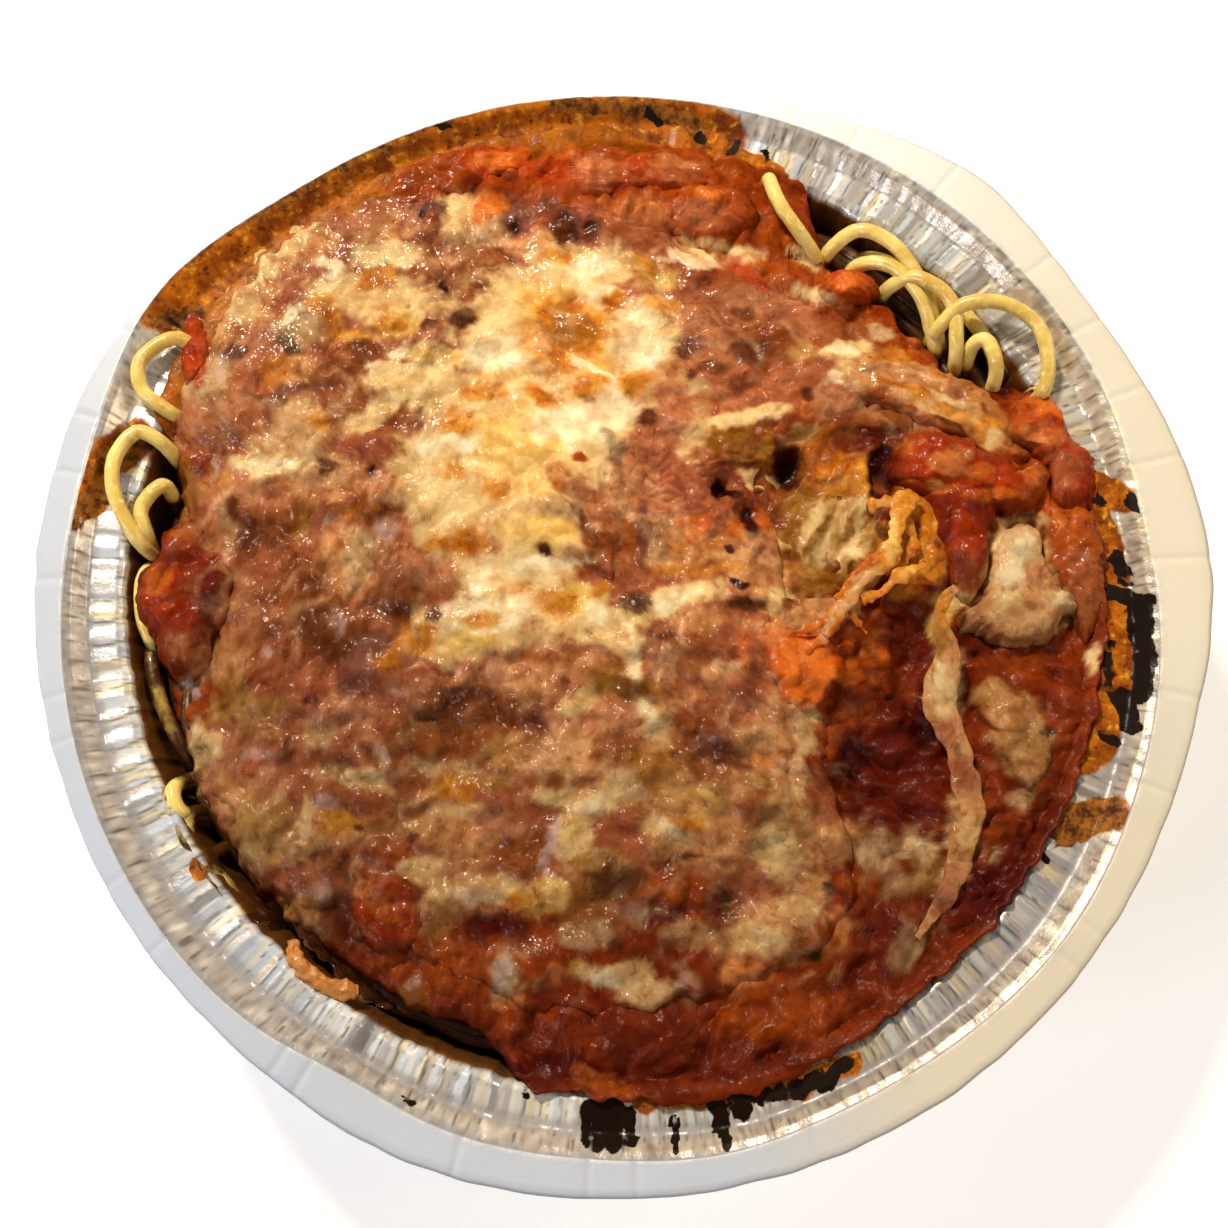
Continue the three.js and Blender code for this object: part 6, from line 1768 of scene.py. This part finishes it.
def make_pan(finish):
    spokes = 1480
    stations = foil_stations()[1:]
    angle = np.arange(spokes) * 360 / spokes
    turn = np.radians(angle)
    ledge, fold = bumps(angle, LEDGE_BUMPS), bumps(angle, FOLD_BUMPS)
    edge = FLANGE_RADIUS + bumps(angle, FLANGE_BUMPS)
    drop = bumps(angle, FLANGE_DROPS)
    panel, _, away = creases(angle, PANELS, 5)
    crease = np.exp(-((away / 0.35) ** 2))
    circle = np.stack([78 * np.cos(turn), 78 * np.sin(turn), 0 * turn], axis=-1)
    rings, tones = [], []
    for radius, height, on_ledge, on_fold, across in stations:
        ribs, facet, line = ribbed(angle, radius)
        wrinkle = 0.5 + 0.5 * np.clip(noise(circle * 1.0 + np.array([0, 0, radius * 0.5]), 1.1, 208), -1, 1)
        # Painted reflections: facet tones up to the strip, crinkle tones on it, and painted shade in dark
        # lines along some folds
        tone = blend(foil_tones(facet, FACETS), foil_tones(wrinkle, STRIP),
            smooth(80.4, 81.6, radius) if across < 0 else 0)
        tones.append(tone * (1 - 0.72 * np.clip(line, 0, 1))[:, None] if across < 0 else tone)
        r = np.full(spokes, radius)
        z = np.full(spokes, height)
        if across >= 0:
            from_fold = FOLD_RADIUS + fold
            r = from_fold + (edge - from_fold) * across
            z = z - drop * across
            z = z + 0.3 * panel * across - 0.2 * crease * smooth(0, 0.2, across)
            z = z + 0.08 * noise(circle + np.array([0, 0, radius]), 7, 204) * (1 - smooth(0.8, 1, across))
            r = r + 0.2 * noise(circle, 5, 205) * across
            z = z + 0.12 * ribs * (1 - smooth(0.02, 0.2, across))
        else:
            r = r + on_ledge * ledge + on_fold * fold
            flat = smooth(75.6, 77, radius) * (1 - 0.45 * smooth(82, 84, radius))
            wall = smooth(63, 67, radius) * (1 - smooth(74.8, 76.2, radius))
            z = z + 0.36 * ribs * flat
            r = r + 0.5 * ribs * wall + 0.25 * ribs * smooth(80.5, 82.5, radius)
            z = z + 0.14 * noise(circle + np.array([0, 0, 0.2 * radius]), 9, 207) * flat
        rings.append(np.column_stack([r * np.cos(turn), r * np.sin(turn), z]))
    points = np.vstack([[[0, 0, 0.8]], *rings, [[0, 0, 0]]])
    faces = [face[::-1] for face in capped_faces(len(rings), spokes)]
    flat_radius = np.concatenate([[0], np.repeat(stations[:, 0], spokes), [0]])
    across = np.concatenate([[-1], np.repeat(stations[:, 4], spokes), [-1]])
    at = wander(pixels(points), points, 5, 3, 211)
    upper = np.repeat(np.arange(len(stations)) < np.argmax(stations[:, 4]) + 3, spokes)
    top = np.concatenate([[1], upper, [0]])
    near = (across < 0.03) * top
    inner = smooth(39.6, 37.5, points[:, 2]) * (flat_radius > 60) * top
    turned = np.arctan2(points[:, 1], points[:, 0])
    fringe = noise(np.column_stack([90 * np.cos(turned), 90 * np.sin(turned), 0.25 * flat_radius]), 1.5, 212)
    marks = {
        "oil": np.maximum(strokes(at, OIL) * near, 0.9 * inner),
        # Burnt sauce on the rim, and painted shade that darkens the wall deeper down
        "burn_and_depth_shade": np.maximum(strokes(at, BURN, 0.35) * near * (0.86 + 0.45 * fringe),
            0.6 * smooth(38, 34, points[:, 2]) * inner),
        "crust": np.maximum(strokes(at, CRUSTED) * near, 0.6 * inner),
        "paper": smooth(0.02, 0.1, across) * top,
        "tone": np.vstack([tones[0][:1], *tones, tones[-1][:1]]),
        "wall": inner,
        "hem": (across > 0.93) * top + 0.7 * np.exp(-((across - 0.02) / 0.03) ** 2) * top,
        # Where the foil gets painted warm light, painted cool light on the near side, and painted shade at
        # the lower right
        "warm": smooth(-20, 75, points[:, 0] - 0.35 * points[:, 1]),
        "far": smooth(-30, 50, 0.6 * points[:, 0] + points[:, 1]),
        "low_right": smooth(15, 50, points[:, 0]) * smooth(-5, -40, points[:, 1]),
        # Painted shade on the two ridge arcs at the lower right
        "ridge": 0.85 * smooth(25, -15, points[:, 1]) * top * np.maximum(
            np.exp(-((flat_radius - 80.6) / 1.0) ** 2), np.exp(-((flat_radius - 84.1) / 0.9) ** 2)),
    }
    add_piece("pan_foil", points, faces, "foil", ["pan"], marks, finish)


# Stage, lights and camera
def make_stage():
    f = Finish("pale_floor")
    white = f.mixed(f.noise(40, 2), (250, 250, 250), (253, 253, 253))
    f.set(Base_Color=white, Roughness=0.8, Emission_Color=white, Emission_Strength=0.4)
    mesh = bpy.data.meshes.new("floor")
    mesh.from_pydata([(-3, -3, -0.0005), (3, -3, -0.0005), (3, 3, -0.0005), (-3, 3, -0.0005)], [],
        [(0, 1, 2, 3)])
    mesh.materials.append(f.material)
    floor = bpy.data.objects.new("floor", mesh)
    bpy.context.scene.collection.objects.link(floor)


def add_light(name, place, size, power, colour, aim=(0, 0, 0.04)):
    data = bpy.data.lights.new(name, "AREA")
    data.shape = "DISK"
    data.size = size
    data.energy = power
    data.color = linear(colour)[:3]
    light = bpy.data.objects.new(name, data)
    light.location = place
    light.rotation_euler = (Vector(aim) - Vector(place)).to_track_quat("-Z", "Y").to_euler()
    bpy.context.scene.collection.objects.link(light)


def make_lights():
    """A warm key, a cool window at the left, a warm lamp at the right and a dim room, brighter low down."""
    add_light("key", (-0.34, 0.56, 0.8), 0.16, 12, (255, 240, 214))
    add_light("window", (-0.8, -0.5, 0.6), 0.3, 3.2, (222, 232, 255))
    add_light("lamp", (0.85, 0.1, 0.7), 0.5, 3.0, (255, 232, 196))
    world = bpy.data.worlds.new("studio")
    world.use_nodes = True
    nodes, links = world.node_tree.nodes, world.node_tree.links
    place = nodes.new("ShaderNodeTexCoord")
    split = nodes.new("ShaderNodeSeparateXYZ")
    ramp = nodes.new("ShaderNodeValToRGB")
    links.new(place.outputs["Generated"], split.inputs[0])
    links.new(split.outputs["Z"], ramp.inputs[0])
    stops = ramp.color_ramp.elements
    stops[0].position, stops[0].color = 0.0, linear((150, 136, 120))
    stops[1].position, stops[1].color = 1.0, linear((104, 96, 88))
    for position, colour in ((0.3, (255, 246, 232)), (0.55, (236, 226, 212)), (0.75, (112, 104, 96))):
        stop = stops.new(position)
        stop.color = linear(colour)
    links.new(ramp.outputs["Color"], nodes["Background"].inputs["Color"])
    nodes["Background"].inputs["Strength"].default_value = 0.72
    bpy.context.scene.world = world


def make_camera():
    forward, right, up = camera_axes()
    data = bpy.data.cameras.new("camera")
    data.sensor_width = 36
    data.lens = FOCAL * 36 / PHOTO
    data.clip_start = 0.01
    camera = bpy.data.objects.new("camera", data)
    turn = Matrix((right, up, -forward)).transposed().to_4x4()
    camera.matrix_world = Matrix.Translation(Vector((TARGET - forward * DISTANCE) / 1000)) @ turn
    bpy.context.scene.collection.objects.link(camera)
    bpy.context.scene.camera = camera


bpy.context.scene.view_settings.view_transform = "Standard"
make_camera()
make_stage()
make_lights()
cheese = food_finish("cheese_browned", 0.14)
make_pan(foil_finish())
make_sauce(food_finish("sauce_chunky", 0.035))
make_cheese(cheese)
make_morsels(food_finish("tomato_wet", 0.1), cheese)
make_strings(cheese, food_finish("breading_soaked", 0.14))
make_slices(eggplant_finish(), food_finish("flesh_wet", 0.1))
make_spaghetti(pasta_finish())
